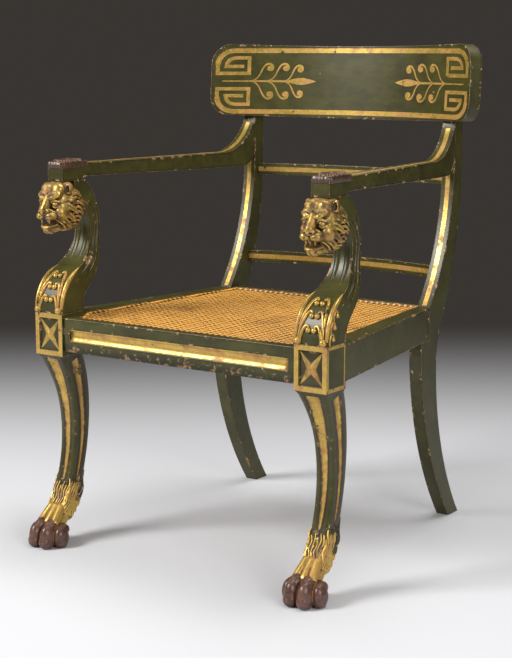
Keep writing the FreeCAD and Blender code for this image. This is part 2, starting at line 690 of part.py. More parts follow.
# Back rails: slim bars curved in plan like the crest
def make_back_rail(name, end_front, bottom):
    """A curved rail between the stiles with a tenon at each end, and the mortise for the right end."""
    inner = "back_rail_radius"
    outer = "(back_rail_radius + back_rail_thickness)"
    centre = f"({end_front} - sqrt({inner}^2 - {STILE_INSIDE}^2))"
    front_y = f"({centre} + sqrt({inner}^2 - {STILE_INSIDE}^2))"
    back_y = f"({centre} + sqrt({outer}^2 - {STILE_INSIDE}^2))"
    plan = [
        (f"-{STILE_INSIDE}", front_y, inner, -1),
        (STILE_INSIDE, front_y),
        (STILE_INSIDE, back_y, outer, 1),
        (f"-{STILE_INSIDE}", back_y),
    ]
    bar = slab(name + "_bar", plan, bottom, f"{bottom} + back_rail_height")
    stub, mortise = tenon(
        name + "_tenon",
        (f"{STILE_INSIDE} - tenon_root", f"{STILE_INSIDE} + back_rail_tenon"),
        (f"{end_front} + back_rail_thickness/4", f"{end_front} + back_rail_thickness*3/4"),
        (f"{bottom} + back_rail_height/6", f"{bottom} + back_rail_height*5/6"))
    return fused(name + "_whole", [bar, stub, mirrored(name + "_tenon_left", stub)]), mortise


upper_rail, upper_mortise = make_back_rail(
    "upper_back_rail", f"({STILE_FRONT} + upper_rail_inset)", f"({CREST_BOTTOM} - upper_rail_drop)")
lower_rail, lower_mortise = make_back_rail(
    "lower_back_rail", f"({HEEL} - lower_rail_reach)", "(seat_height + lower_rail_rise)")
single("upper_back_rail", upper_rail)
single("lower_back_rail", lower_rail)


# Crest screws
def crest_screw_places():
    """Two screws through each stile tongue into the back of the crest."""
    back = size(f"{STILE_FRONT} + stile_depth")
    grip = size("stile_depth") - size("screw_head")
    places = []
    for rise in ("crest_screw_low", "crest_screw_high"):
        level = size(f"{CREST_BOTTOM} + {rise}")
        for side in (-1, 1):
            seat = Vector(side*size(STILE_MIDDLE), back, level)
            places.append((seat, Vector(0, -1, 0), grip))
    return places


crest_screws, crest_screw_holes = screws_and_holes("crest_screws", crest_screw_places())
single("crest_tablet", cut("crest_whole", crest_board, [crest_screw_holes]))
pair("rear_leg", cut("rear_leg_whole", rear_leg_plank,
                     [crest_board, crest_screw_holes, hip_mortise, rear_mortise, arm_mortise,
                      upper_mortise, lower_mortise]))
single("crest_screws", crest_screws)


# Carved forms are merged balls and round-ended rolls
def roll(centre, radius, length, way):
    """A round-ended form of half length along a way and radius across it, or a ball where it is no longer."""
    if length <= radius:
        return Part.makeSphere(radius, centre)
    line = Vector(way).normalize()
    reach = line*(length - radius)
    shank = Part.makeCylinder(radius, 2*reach.Length, centre - reach, line)
    ends = [Part.makeSphere(radius, centre + reach*side, line) for side in (-1, 1)]
    return shank.multiFuse(ends).removeSplitter()


def merged(forms):
    return forms[0].multiFuse(forms[1:])


# Arm supports: scrolled supports sawn to a side and a front outline, with reeds down the neck
def support_side():
    seat_foot = f"{ARM_BOTTOM} - mask_seat_drop"
    return [
        (FRONT, BLOCK_TOP, arc_radius("chest_reach", "chest_rise"), -1),
        (f"{FRONT} + chest_reach", f"{BLOCK_TOP} + chest_rise",
         arc_radius("throat_reach - chest_reach", "throat_rise - chest_rise"), 1),
        (f"{FRONT} + throat_reach", f"{BLOCK_TOP} + throat_rise",
         arc_radius("throat_reach - mask_seat_reach", "arm_rise - mask_seat_drop - throat_rise"), 1),
        (f"{FRONT} + mask_seat_reach", seat_foot),
        (f"{FRONT} + mask_seat_reach", ARM_BOTTOM),
        (f"{FRONT} + neck_back_reach", ARM_BOTTOM,
         arc_radius("nape_reach - neck_back_reach", "arm_rise - nape_rise"), -1),
        (f"{FRONT} + nape_reach", f"{BLOCK_TOP} + nape_rise",
         arc_radius("nape_reach - loin_reach", "nape_rise - loin_rise"), -1),
        (f"{FRONT} + loin_reach", f"{BLOCK_TOP} + loin_rise",
         arc_radius("loin_reach - block_depth", "loin_rise"), 1),
        (BLOCK_BACK, BLOCK_TOP),
    ]


def support_front():
    return both_sides([
        ("block_width/2", BLOCK_TOP),
        ("breast_width/2", f"{BLOCK_TOP} + breast_rise",
         arc_radius("(breast_width - neck_turn_width)/2", "neck_turn_rise - breast_rise"), 1),
        ("neck_turn_width/2", f"{BLOCK_TOP} + neck_turn_rise",
         arc_radius("(neck_turn_width - neck_width)/2", "neck_rise - neck_turn_rise"), -1),
        ("neck_width/2", f"{BLOCK_TOP} + neck_rise"),
        ("neck_width/2", ARM_BOTTOM),
    ], BLOCK_MIDDLE)


support_blank = crossed(
    "arm_support_blank",
    board("arm_support_side", "YZ_Plane", support_side(), "block_width + tool_margin", BLOCK_MIDDLE),
    board("arm_support_front", "XZ_Plane", support_front(), "2*nape_reach", f"-({FRONT} + nape_reach/2)"))

# Dowels: one up from each leg block, one up into each arm
block_dowel_place = (BLOCK_MIDDLE, f"{FRONT} + block_depth/2", f"{BLOCK_TOP} - dowel_bite")
arm_dowel_place = (BLOCK_MIDDLE, f"{FRONT} + (mask_seat_reach + neck_back_reach)/2",
                   f"{ARM_BOTTOM} - dowel_bite")
block_dowel = rod("support_dowel_right", "dowel_bore", "2*dowel_bite", block_dowel_place)
arm_dowel = rod("arm_dowel_right", "dowel_bore", "arm_dowel_length", arm_dowel_place)
block_dowel_hole = rod("support_dowel_hole", "dowel_bore + 2*fit_gap", "2*dowel_bite", block_dowel_place)
arm_dowel_hole = rod("arm_dowel_hole", "dowel_bore + 2*fit_gap", "arm_dowel_length", arm_dowel_place)


def grouped(name, right_piece):
    """A right-hand fastener and its left-hand twin as one group of solids."""
    group = doc.addObject("Part::Compound", name)
    group.Links = [right_piece, mirrored(name + "_twin", right_piece)]
    single(name, group)


def make_reeds():
    """Grooves that leave reeds down both sides of the neck and run out on the breast."""
    levels = levels_between(size(f"{ARM_BOTTOM} - mask_seat_drop"), size(f"{BLOCK_TOP} + breast_rise"), 7)
    taper = (0.3, 0.8, 1.0, 1.0, 1.0, 0.7, 0.15)
    width = size("reed_width")
    tools = []
    for name, share in (("fore", 0.34), ("aft", 0.66)):
        for hand, way in (("inner", Vector(-1, 0, 0)), ("outer", Vector(1, 0, 0))):
            line = []
            for level in levels:
                front, back = span_at("arm_support_side", level)
                edges = span_at("arm_support_front", level)
                edge = edges[0] if hand == "inner" else edges[1]
                line.append(Vector(edge, front + (back - front)*share, level))
            tools.append(groove(f"{name}_{hand}_reed", line, way, [width*share for share in taper],
                                size("reed_depth")))
    return tools


support = cut("arm_support_whole", support_blank, [block_dowel_hole, arm_dowel_hole] + make_reeds())
pair("arm_support", support)
grouped("support_dowels", block_dowel)
grouped("arm_dowels", arm_dowel)


# Arms: sawn to a side outline and a tapering plan
def make_arm():
    side = [
        (f"{FRONT} + post_front", ARM_BOTTOM),
        (f"{STILE_FRONT} - arm_heel_run", ARM_BOTTOM, arc_radius("arm_heel_rise", "arm_heel_run"), 1),
        (STILE_FRONT, f"{ARM_BOTTOM} + arm_heel_rise"),
        (STILE_FRONT, f"{CREST_BOTTOM} + arm_tip_rise"),
        (f"{STILE_FRONT} - arm_tip", f"{CREST_BOTTOM} + arm_tip_rise"),
        (f"{STILE_FRONT} - arm_tip", CREST_BOTTOM, "arm_sweep", -1),
        (f"{STILE_FRONT} - arm_sweep_run", ARM_TOP),
        (f"{FRONT} + post_front", ARM_TOP),
    ]
    post_back = f"{FRONT} + post_front + post_depth"
    plan = [
        (f"{BLOCK_MIDDLE} - post_width/2", f"{FRONT} + post_front"),
        (f"{BLOCK_MIDDLE} + post_width/2", f"{FRONT} + post_front"),
        (f"{BLOCK_MIDDLE} + post_width/2", post_back),
        ("rear_width/2", STILE_FRONT),
        (STILE_INSIDE, STILE_FRONT),
        (f"{BLOCK_MIDDLE} - post_width/2", post_back),
    ]
    blank = crossed(
        "arm_blank",
        board("arm_side", "YZ_Plane", side, "front_width", BLOCK_MIDDLE),
        slab("arm_plan", plan, f"{ARM_BOTTOM} - tool_margin", f"{CREST_BOTTOM} + arm_tip_rise + tool_margin"))
    shaped = cut("arm_shaped", blank, [crest_board, arm_dowel_hole])
    return fused("arm_whole", [shaped, arm_tenon])


pair("arm", make_arm())


# Carved caps on the arm posts: a ring of petals round a boss
def make_cap():
    middle = Vector(size(BLOCK_MIDDLE), size(f"{FRONT} + post_front + (post_depth + cap_tail)/2"),
                    size(ARM_TOP))
    half_x = size("post_width/2 + cap_overhang")
    half_y = size("(post_depth + cap_tail)/2 + cap_overhang")
    thickness = size("cap_thickness")
    petals = 8
    forms = [roll(middle, half_x*0.45, thickness + size("cap_boss"), UP)]
    for index in range(petals):
        angle = 2*math.pi*(index + 0.5)/petals
        way = Vector(math.cos(angle), math.sin(angle), 0)
        centre = middle + Vector(way.x*half_x*0.55, way.y*half_y*0.55, 0)
        forms.append(roll(centre, thickness, half_x*0.45, way))
    above = Part.makeBox(4*half_x, 4*half_y, 4*thickness, middle - Vector(2*half_x, 2*half_y, 0))
    return feature("arm_cap_carving", merged(forms).common(above))


pair("arm_cap", make_cap())


# Lion masks: face, brows, muzzle, jaw and ears before a ruff of mane locks,
# placed in shares of the mask's half width, depth and height and sized in shares of its half width
def make_mask():
    half = size("mask_width")/2
    height = size("mask_height")
    depth = size("mask_depth")
    origin = Vector(size(BLOCK_MIDDLE), size(f"{FRONT} - mask_nose_reach"), size(ARM_BOTTOM) - height)

    def at(across, back, up):
        return origin + Vector(across*half, back*depth, up*height)

    def form(across, back, up, radius, length, way=Vector(0, 1, 0)):
        return roll(at(across, back, up), radius*half, length*half, way)

    forms = [
        form(0, 0.50, 0.57, 0.90, 1.08, UP),
        form(0, 0.21, 0.47, 0.52, 0.58),
        form(0, 0.12, 0.55, 0.27, 0.36),
        form(0, 0.22, 0.66, 0.22, 0.55, Vector(0, 0.5, 0.87)),
        form(0, 0.27, 0.13, 0.34, 0.55),
    ]
    for side in (-1, 1):
        forms.append(form(side*0.38, 0.25, 0.73, 0.24, 0.38, Vector(1, 0.25*side, -0.25*side)))
        forms.append(form(side*0.52, 0.36, 0.42, 0.42, 0.55))
        forms.append(form(side*0.24, 0.14, 0.42, 0.27, 0.38))
        forms.append(form(side*0.74, 0.50, 0.83, 0.22, 0.38, Vector(0.5*side, 0, 0.87)))
    locks = 11
    for index in range(locks):
        angle = math.radians(-60 + 300*index/(locks - 1))
        across, up = math.cos(angle), math.sin(angle)
        forms.append(form(across*0.64, 0.74, 0.50 + up*0.33, 0.38, 0.74))
    below_arm = Part.makeBox(6*half, 3*depth, 2*height, origin - Vector(3*half, depth, height))
    return merged(forms).common(below_arm)


mask_block = feature("lion_mask_block", make_mask())
pair("lion_mask", cut("lion_mask_whole", mask_block, [support_blank]))


# Front legs: block, hollow-fronted leg and carved paw from one piece
def make_leg_blank():
    ankle = (f"{FRONT} + ankle_front", "ankle_front_height")
    hock_back = f"{FRONT} + hock_front + hock_depth"
    bulge_y, bulge_z = f"{BLOCK_BACK} + leg_bulge", f"{BLOCK_BOTTOM} - leg_bulge_drop"
    chord = f"(ankle_front^2 + ({BLOCK_BOTTOM} - ankle_front_height)^2)"
    side = [
        (FRONT, BLOCK_TOP),
        (FRONT, BLOCK_BOTTOM, f"({chord}/4 + leg_hollow^2)/(2*leg_hollow)", -1),
        ankle,
        (f"{FRONT} + hock_front", "hock_height"),
        (hock_back, "hock_height", arc_radius("block_depth + leg_bulge - hock_front - hock_depth",
                                              f"{bulge_z} - hock_height"), 1),
        (bulge_y, bulge_z, arc_radius("leg_bulge", "leg_bulge_drop"), 1),
        (BLOCK_BACK, BLOCK_BOTTOM),
        (BLOCK_BACK, BLOCK_TOP),
    ]
    waist_z = f"{BLOCK_BOTTOM} - leg_waist_drop"
    front = both_sides([
        ("hock_width/2", "hock_height"),
        ("ankle_width/2", "ankle_height"),
        ("leg_waist/2", waist_z,
         arc_radius("block_width/2 - leg_top_inset - leg_waist/2", "leg_waist_drop"), -1),
        ("(block_width/2 - leg_top_inset)", BLOCK_BOTTOM),
        ("block_width/2", BLOCK_BOTTOM),
        ("block_width/2", BLOCK_TOP),
    ], BLOCK_MIDDLE)
    depth = "2*(block_depth + leg_bulge)"
    return crossed(
        "front_leg_blank",
        board("front_leg_side", "YZ_Plane", side, "block_width + tool_margin", BLOCK_MIDDLE),
        board("front_leg_front", "XZ_Plane", front, depth, f"-({FRONT} + block_depth/2)"))


def make_star():
    """A ridged four-pointed star that fills the sunk panel and stops flush with its frame."""
    middle = Vector(size(BLOCK_MIDDLE), size(FRONT), size(f"({BLOCK_TOP} + {BLOCK_BOTTOM})/2"))
    half_x = size("block_width/2 - block_panel_margin")
    half_z = size(f"({BLOCK_TOP} - {BLOCK_BOTTOM})/2 - block_panel_margin")
    waist = size("block_star_waist")
    depth = size("block_panel_depth")
    floor_ring = []
    for index in range(8):
        angle = math.radians(45*index + 45)
        reach_x, reach_z = (half_x, half_z) if index % 2 == 0 else (waist, waist)
        spread = math.sqrt(2) if index % 2 == 0 else 1.0
        across, up = reach_x*spread*math.cos(angle), reach_z*spread*math.sin(angle)
        floor_ring.append(middle + Vector(across, depth, up))
    faces = [Part.Face(Part.makePolygon(floor_ring + floor_ring[:1]))]
    for start, end in zip(floor_ring, floor_ring[1:] + floor_ring[:1]):
        faces.append(Part.Face(Part.makePolygon([start, end, middle, start])))
    return feature("block_star", Part.makeSolid(Part.makeShell(faces)))


def make_flutes():
    """Flutes that narrow to a point at the ankle, down the front and both sides of the leg."""
    middle = size(BLOCK_MIDDLE)
    levels = levels_between(size(f"{BLOCK_BOTTOM} - flute_margin"), size("flute_foot_height"), 6)
    taper = (1.0, 0.86, 0.68, 0.52, 0.36, 0.08)
    lines = {"front": [], "inner": [], "outer": []}
    for level in levels:
        front, back = span_at("front_leg_side", level)
        inner, outer = span_at("front_leg_front", level)
        lines["front"].append(Vector(middle, front, level))
        lines["inner"].append(Vector(inner, (front + back)/2, level))
        lines["outer"].append(Vector(outer, (front + back)/2, level))
    ways = {"front": Vector(0, -1, 0), "inner": Vector(-1, 0, 0), "outer": Vector(1, 0, 0)}
    tools = []
    for side, line in lines.items():
        width = size("flute_width" if side == "front" else "flute_side_width")
        tools.append(groove(f"{side}_flute", line, ways[side], [width*share for share in taper],
                            size("flute_depth")))
    return tools


def make_paw():
    """Three toes with raised knuckles before a broad pad, flat underneath."""
    half = size("paw_width")/2
    height = size("paw_height")
    tip = size("toe_reach")
    length_whole = tip + size("paw_heel")
    origin = Vector(size(BLOCK_MIDDLE), size(f"{FRONT} - toe_reach"), 0)

    def form(across, back, up, radius, length, way=Vector(0, 1, 0)):
        return roll(origin + Vector(across*half, back*length_whole, up*height), radius*half, length*half, way)

    forms = [form(0, 0.60, 0.32, 0.72, 0.80)]
    for across, back in ((-0.62, 0.36), (0, 0.26), (0.62, 0.36)):
        forms.append(form(across, back, 0.28, 0.37, 0.50))
        forms.append(form(across*0.93, back + 0.12, 0.60, 0.36, 0.30))
    floor = Part.makeBox(4*half, 2*length_whole, 3*height, origin - Vector(2*half, length_whole/2, 0))
    return feature("paw_carving", merged(forms).common(floor))


def make_front_leg():
    margin = "block_panel_margin"
    panel = block("block_panel", (f"{BLOCK_INSIDE} + {margin}", f"front_width/2 - {margin}"),
                  (f"{FRONT} - tool_margin", f"{FRONT} + block_panel_depth"),
                  (f"{BLOCK_BOTTOM} + {margin}", f"{BLOCK_TOP} - {margin}"))
    blank = make_leg_blank()
    tools = [panel, front_mortise, side_mortise, block_dowel_hole] + make_flutes()
    shaped = cut("front_leg_shaped", blank, tools)
    return fused("front_leg_whole", [shaped, make_star(), make_paw()])


pair("front_leg", make_front_leg())


# Woven cane: one sheet with its open gaps, in a close woven border
def make_cane():
    border = [Vector(size(across), size(along), 0) for across, along in cane_outline("0")]
    outline = border + [Vector(-corner.x, corner.y, 0) for corner in reversed(border)]
    inside = [Vector(size(across), size(along), 0) for across, along in cane_outline("-cane_margin")]
    field = inside + [Vector(-corner.x, corner.y, 0) for corner in reversed(inside)]
    field_face = Part.Face(Part.makePolygon(field + field[:1]))
    pitch = size("cane_pitch")
    half = size("cane_gap")/2
    rows = int((inside[2].y - inside[0].y)//pitch)
    first_row = (inside[0].y + inside[2].y)/2 - (rows - 1)*pitch/2
    columns = int(2*inside[1].x//pitch)
    gaps = []
    for row in range(rows):
        for column in range(columns):
            middle = Vector((column - (columns - 1)/2)*pitch, first_row + row*pitch, 0)
            ring = [middle + Vector(across*half, along*half, 0)
                    for across, along in ((-1, -1), (1, -1), (1, 1), (-1, 1))]
            if all(field_face.isInside(corner, 0.01, True) for corner in ring):
                gaps.append(Part.makePolygon(ring + ring[:1]))
    edge = Part.makePolygon(outline + outline[:1])
    sheet_face = Part.makeFace([edge] + gaps, "Part::FaceMakerBullseye")
    sheet_face.translate(Vector(0, 0, size(CANE_BED)))
    return feature("cane_sheet", sheet_face.extrude(Vector(0, 0, size("cane_thickness"))))


single("cane_seat", make_cane())
BINDING_BOTTOM = f"({CANE_BED} + cane_thickness)"
BINDING_TOP = f"({BINDING_BOTTOM} + binding_thickness)"
single("cane_binding", cut(
    "cane_binding_ring",
    slab("binding_outer", both_sides(cane_outline("0")), BINDING_BOTTOM, BINDING_TOP),
    [slab("binding_inner", both_sides(cane_outline("-binding_width")),
          f"{BINDING_BOTTOM} - tool_margin", f"{BINDING_TOP} + tool_margin")]))

# Corner braces, drilled and cut round the rear legs
for name, plan in (("corner_brace_front", front_brace_plan), ("corner_brace_rear", rear_brace_plan)):
    brace = cut(name + "_whole", slab(name + "_blank", plan, BRACE_LOW, LEDGE_BOTTOM),
                [brace_holes, pockets, rear_leg_plank])
    pair(name, brace)
grouped("brace_screws", brace_screws)

doc.recompute()
for item in doc.Objects:
    if "Invalid" in item.State or "Error" in item.State:
        raise RuntimeError(f"{item.Name} could not be worked out: {item.State}")
for node in nodes:
    shape = node.Shape
    if shape.isNull() or not shape.isValid() or not shape.Solids:
        raise RuntimeError(f"{node.Label} is not a sound solid")

os.makedirs("parts", exist_ok=True)
for node in nodes:
    node.Shape.exportStep(f"parts/{node.Label}.step")
    print(node.Label, len(node.Shape.Solids), round(node.Shape.Volume))
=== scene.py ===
import math

import bmesh
import bpy
import numpy as np
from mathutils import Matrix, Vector
from mathutils.bvhtree import BVHTree


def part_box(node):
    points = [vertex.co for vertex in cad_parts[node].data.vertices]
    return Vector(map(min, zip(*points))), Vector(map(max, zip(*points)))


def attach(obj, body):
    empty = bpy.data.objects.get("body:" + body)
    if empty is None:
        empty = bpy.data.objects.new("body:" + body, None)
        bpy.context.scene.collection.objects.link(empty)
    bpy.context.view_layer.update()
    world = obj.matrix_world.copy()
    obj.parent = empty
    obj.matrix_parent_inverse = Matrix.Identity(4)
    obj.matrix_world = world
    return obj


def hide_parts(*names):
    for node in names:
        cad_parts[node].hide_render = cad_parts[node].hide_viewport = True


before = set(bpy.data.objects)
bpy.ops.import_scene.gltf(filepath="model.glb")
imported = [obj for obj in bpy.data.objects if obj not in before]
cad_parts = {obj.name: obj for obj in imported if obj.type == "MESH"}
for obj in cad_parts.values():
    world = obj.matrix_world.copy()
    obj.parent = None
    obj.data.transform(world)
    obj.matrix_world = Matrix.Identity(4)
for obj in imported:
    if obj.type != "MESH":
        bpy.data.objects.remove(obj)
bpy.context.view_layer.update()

bl_info = {
    "name": "Painted armchair",
    "version": (1, 0, 0),
    "blender": (4, 5, 0),
    "location": "3D View > Sidebar > Armchair",
    "description": "Paint, gilding, carving and woven cane for a painted open armchair",
    "category": "Add Mesh",
}

MM = 0.001

# Height of the block over a front leg, and how far a gilt line reaches into the wood under it
BLOCK_HEIGHT = 72*MM
GILT_SINK = 0.6*MM

# Places taken from the frame, in metres
SUPPORT_LOW, SUPPORT_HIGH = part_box("arm_support_right")
BLOCK_MIDDLE = (SUPPORT_LOW.x + SUPPORT_HIGH.x)/2
BLOCK_FRONT = SUPPORT_LOW.y
BLOCK_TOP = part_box("front_leg_right")[1].z
BLOCK_BOTTOM = BLOCK_TOP - BLOCK_HEIGHT
ARM_FRONT, ARM_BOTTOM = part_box("arm_right")[0].yz
CAP_LOW, CAP_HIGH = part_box("arm_cap_right")
ARM_TOP = CAP_LOW.z
STILE_LOW, STILE_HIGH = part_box("rear_leg_right")
STILE_MIDDLE = (STILE_LOW.x + STILE_HIGH.x)/2
CREST_BOTTOM, CREST_TOP = (corner.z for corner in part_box("crest_tablet"))
RAIL_LOW, RAIL_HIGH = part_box("front_seat_rail")
CANE_LOW, CANE_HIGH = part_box("cane_seat")
CANE_MIDDLE = (CANE_LOW.y + CANE_HIGH.y)/2


# Sizes and colours that a user would change
class ArmchairSizes(bpy.types.PropertyGroup):
    """Sizes of the painted, gilded, carved and woven details."""

    gilt_line: bpy.props.FloatProperty(
        name="Gilt line", description="Width of the gilt lines on the back and arms",
        default=8.5*MM, unit="LENGTH")
    gilt_lift: bpy.props.FloatProperty(
        name="Gilt lift", description="Height of a gilt line above the paint",
        default=0.25*MM, unit="LENGTH")
    carving_grain: bpy.props.FloatProperty(
        name="Carving grain", description="Smallest form in the carved legs and supports",
        default=0.85*MM, unit="LENGTH")
    mask_grain: bpy.props.FloatProperty(
        name="Mask grain", description="Smallest form in the carved masks",
        default=0.80*MM, unit="LENGTH")
    cane_pitch: bpy.props.FloatProperty(
        name="Cane pitch", description="Distance between pairs of cane strands",
        default=11.5*MM, unit="LENGTH")
    strand_width: bpy.props.FloatProperty(
        name="Strand width", description="Width of one cane strand",
        default=2.0*MM, unit="LENGTH")
    strand_thickness: bpy.props.FloatProperty(
        name="Strand thickness", description="Thickness of one cane strand",
        default=0.4*MM, unit="LENGTH")


class ArmchairColours(bpy.types.PropertyGroup):
    """Colours of the paint, gilding, carving and cane."""

    paint: bpy.props.FloatVectorProperty(
        name="Paint", description="Olive green paint", subtype="COLOR", size=3,
        default=(0.062, 0.060, 0.012))
    paint_dark: bpy.props.FloatVectorProperty(
        name="Dark paint", description="Dark patches in the paint", subtype="COLOR", size=3,
        default=(0.026, 0.026, 0.006))
    wood: bpy.props.FloatVectorProperty(
        name="Bare wood", description="Wood that shows through chips", subtype="COLOR", size=3,
        default=(0.30, 0.155, 0.065))
    ground: bpy.props.FloatVectorProperty(
        name="Ground", description="Pale ground under the paint", subtype="COLOR", size=3,
        default=(0.52, 0.40, 0.24))
    gilding: bpy.props.FloatVectorProperty(
        name="Gilding", description="Gold leaf", subtype="COLOR", size=3,
        default=(0.70, 0.47, 0.115))
    gilding_worn: bpy.props.FloatVectorProperty(
        name="Worn gilding", description="Rubbed gold over red clay", subtype="COLOR", size=3,
        default=(0.33, 0.15, 0.045))
    # The colour of painted shade in hollows and recesses; also of the crazing cracks, pits and stains
    hollow: bpy.props.FloatVectorProperty(
        name="Hollows", description="Dark glaze in the hollows of the carving", subtype="COLOR", size=3,
        default=(0.030, 0.018, 0.008))
    bronze: bpy.props.FloatVectorProperty(
        name="Bronzing", description="Purple brown of the paws and arm caps", subtype="COLOR", size=3,
        default=(0.118, 0.061, 0.048))
    cane: bpy.props.FloatVectorProperty(
        name="Cane", description="Honey-coloured cane", subtype="COLOR", size=3,
        default=(1.0, 0.50, 0.080))
    cane_dark: bpy.props.FloatVectorProperty(
        name="Dark cane", description="Stained cane", subtype="COLOR", size=3,
        default=(0.36, 0.15, 0.030))
    beech: bpy.props.FloatVectorProperty(
        name="Beech", description="Unpainted wood under the seat", subtype="COLOR", size=3,
        default=(0.33, 0.20, 0.10))
    steel: bpy.props.FloatVectorProperty(
        name="Screws", description="Darkened steel", subtype="COLOR", size=3,
        default=(0.16, 0.145, 0.13))
    floor: bpy.props.FloatVectorProperty(
        name="Floor", description="Plain pale floor", subtype="COLOR", size=3,
        default=(0.56, 0.585, 0.64))
    backdrop: bpy.props.FloatVectorProperty(
        name="Backdrop", description="Plain grey behind the floor", subtype="COLOR", size=3,
        default=(0.041, 0.036, 0.032))


# Node trees and materials
class Amount:
    """A number in a node tree: sums with it add maths nodes."""

    def __init__(self, tree, socket):
        self.tree, self.socket = tree, socket

    def maths(self, operation, first, second=0.0):
        node = self.tree.add("ShaderNodeMath", {0: first, 1: second}, operation=operation)
        return Amount(self.tree, node.outputs[0])

    def __add__(self, other):
        return self.maths("ADD", self, other)

    def __sub__(self, other):
        return self.maths("SUBTRACT", self, other)

    def __rsub__(self, other):
        return self.maths("SUBTRACT", other, self)

    def __mul__(self, other):
        return self.maths("MULTIPLY", self, other)

    def __truediv__(self, other):
        return self.maths("DIVIDE", self, other)

    def __neg__(self):
        return self*-1.0

    def larger(self, other):
        return self.maths("MAXIMUM", self, other)

    def alone(self, operation):
        """This number after an operation on it alone, such as its fraction."""
        return self.maths(operation, self)

    def step(self, low, high):
        """0 below low, 1 above high, smooth between."""
        node = self.tree.add("ShaderNodeMapRange", {"Value": self, "From Min": low, "From Max": high},
                             interpolation_type="SMOOTHSTEP")
        return Amount(self.tree, node.outputs[0])


class Nodes:
    """A node tree under construction: short calls add and join its nodes."""

    def __init__(self, tree):
        self.nodes, self.links = tree.nodes, tree.links

    def add(self, kind, inputs=(), **settings):
        """A node with its settings, and values or links for its inputs by name or number."""
        node = self.nodes.new(kind)
        for key, value in settings.items():
            setattr(node, key, value)
        for key, value in dict(inputs).items():
            self.give(node.inputs[key], value)
        return node

    def give(self, socket, value):
        value = value.socket if isinstance(value, Amount) else value
        if isinstance(value, bpy.types.NodeSocket):
            self.links.new(value, socket)
        elif socket.type == "RGBA" and len(value) == 3:
            socket.default_value = (*value, 1.0)
        else:
            socket.default_value = value


class Finish(Nodes):
    """A material under construction."""

    def __init__(self, name):
        self.material = bpy.data.materials.new(name)
        self.material.use_nodes = True
        super().__init__(self.material.node_tree)
        self.shader = self.nodes["Principled BSDF"]

    def place(self, stretch=(1, 1, 1)):
        """Object coordinates, stretched along the axes."""
        coordinates = self.add("ShaderNodeTexCoord").outputs["Object"]
        return self.add("ShaderNodeMapping", {"Vector": coordinates, "Scale": stretch}).outputs[0]

    def coordinates(self):
        """The three object coordinates as numbers."""
        parts = self.add("ShaderNodeSeparateXYZ", {0: self.place()}).outputs
        return [Amount(self, part) for part in parts]

    def noise(self, scale, detail, roughness, stretch=(1, 1, 1)):
        node = self.add("ShaderNodeTexNoise", {"Vector": self.place(stretch), "Scale": scale,
                                               "Detail": detail, "Roughness": roughness})
        return Amount(self, node.outputs[0])

    def cracks(self, scale):
        """Distance from the cracks of a crazed coat."""
        node = self.add("ShaderNodeTexVoronoi", {"Vector": self.place(), "Scale": scale},
                        feature="DISTANCE_TO_EDGE")
        return Amount(self, node.outputs["Distance"])

    def mix(self, share, first, second):
        """A colour between two colours."""
        return self.add("ShaderNodeMix", {0: share, 6: first, 7: second}, data_type="RGBA").outputs[2]

    def blend(self, share, first, second):
        """A number between two numbers."""
        node = self.add("ShaderNodeMix", {0: share, 2: first, 3: second}, data_type="FLOAT")
        return Amount(self, node.outputs[0])

    def mark(self, name):
        """A number stored on the mesh, 0 where the mesh has none."""
        return Amount(self, self.add("ShaderNodeAttribute", attribute_name=name).outputs["Fac"])

    def sharp_edges(self, radius):
        """1 at an edge, 0 away from it, and a normal rounded over the edge."""
        rounded = self.add("ShaderNodeBevel", {"Radius": radius}, samples=6).outputs[0]
        true_normal = self.add("ShaderNodeNewGeometry").outputs["Normal"]
        likeness = self.add("ShaderNodeVectorMath", {0: rounded, 1: true_normal}, operation="DOT_PRODUCT")
        return 1.0 - Amount(self, likeness.outputs["Value"]), rounded

    def bump(self, height, distance, strength, **normal):
        inputs = {"Height": height, "Distance": distance, "Strength": strength, **normal}
        return self.add("ShaderNodeBump", inputs).outputs[0]

    def finish(self, **sockets):
        for name, value in sockets.items():
            self.give(self.shader.inputs[name.replace("_", " ")], value)
        return self.material


def shade(colour, share):
    """A colour made darker or lighter."""
    return tuple(min(share*part, 1) for part in colour)


def gilt_parts(finish, colours, relief):
    """Colour, roughness and shine of rubbed gold leaf, with painted highlights on the ridges, and dirt and
    painted shade in the hollows.
    """
    rub = finish.noise(210, 4, 0.65)
    worn = (finish.noise(38, 5, 0.6) + rub*0.35).step(0.60, 0.84)
    leaf = finish.mix(rub.step(0.35, 0.75), shade(colours.gilding, 0.72), colours.gilding)
    gold = finish.mix(worn*0.8, leaf, colours.gilding_worn)
    # Painted highlight: lighter gold on the ridges of the relief mark
    gold = finish.mix(relief.step(0.1, 0.6)*0.7, gold, shade(colours.gilding, 1.45))
    # Dirt patches, and painted shade where the relief mark sinks below 0, both in the dark hollow colour
    dirt = (finish.noise(95, 5, 0.65) - 0.42)*1.6
    deep = (dirt - relief).step(0.05, 0.95)
    colour = finish.mix(deep*0.94, gold, colours.hollow)
    shine = 1.0 - deep.larger(worn*0.8)
    return colour, finish.blend(shine, 0.6, 0.32), shine


def low_front_edge(finish):
    """1 along the bottom of the front rail's face, 0 elsewhere: there the paint turns darker towards the
    bottom, and shoes have kicked chips out of it.
    """
    across, along, level = finish.coordinates()
    above, behind = level - RAIL_LOW.z, along - RAIL_LOW.y
    low = above.step(-1*MM, 0.0) - above.step(3*MM, 17*MM)
    rail_end = BLOCK_MIDDLE - 24*MM
    past_end = across.alone("ABSOLUTE").step(rail_end - 1*MM, rail_end)
    return low*(1.0 - past_end.larger(behind.step(4*MM, 14*MM)))


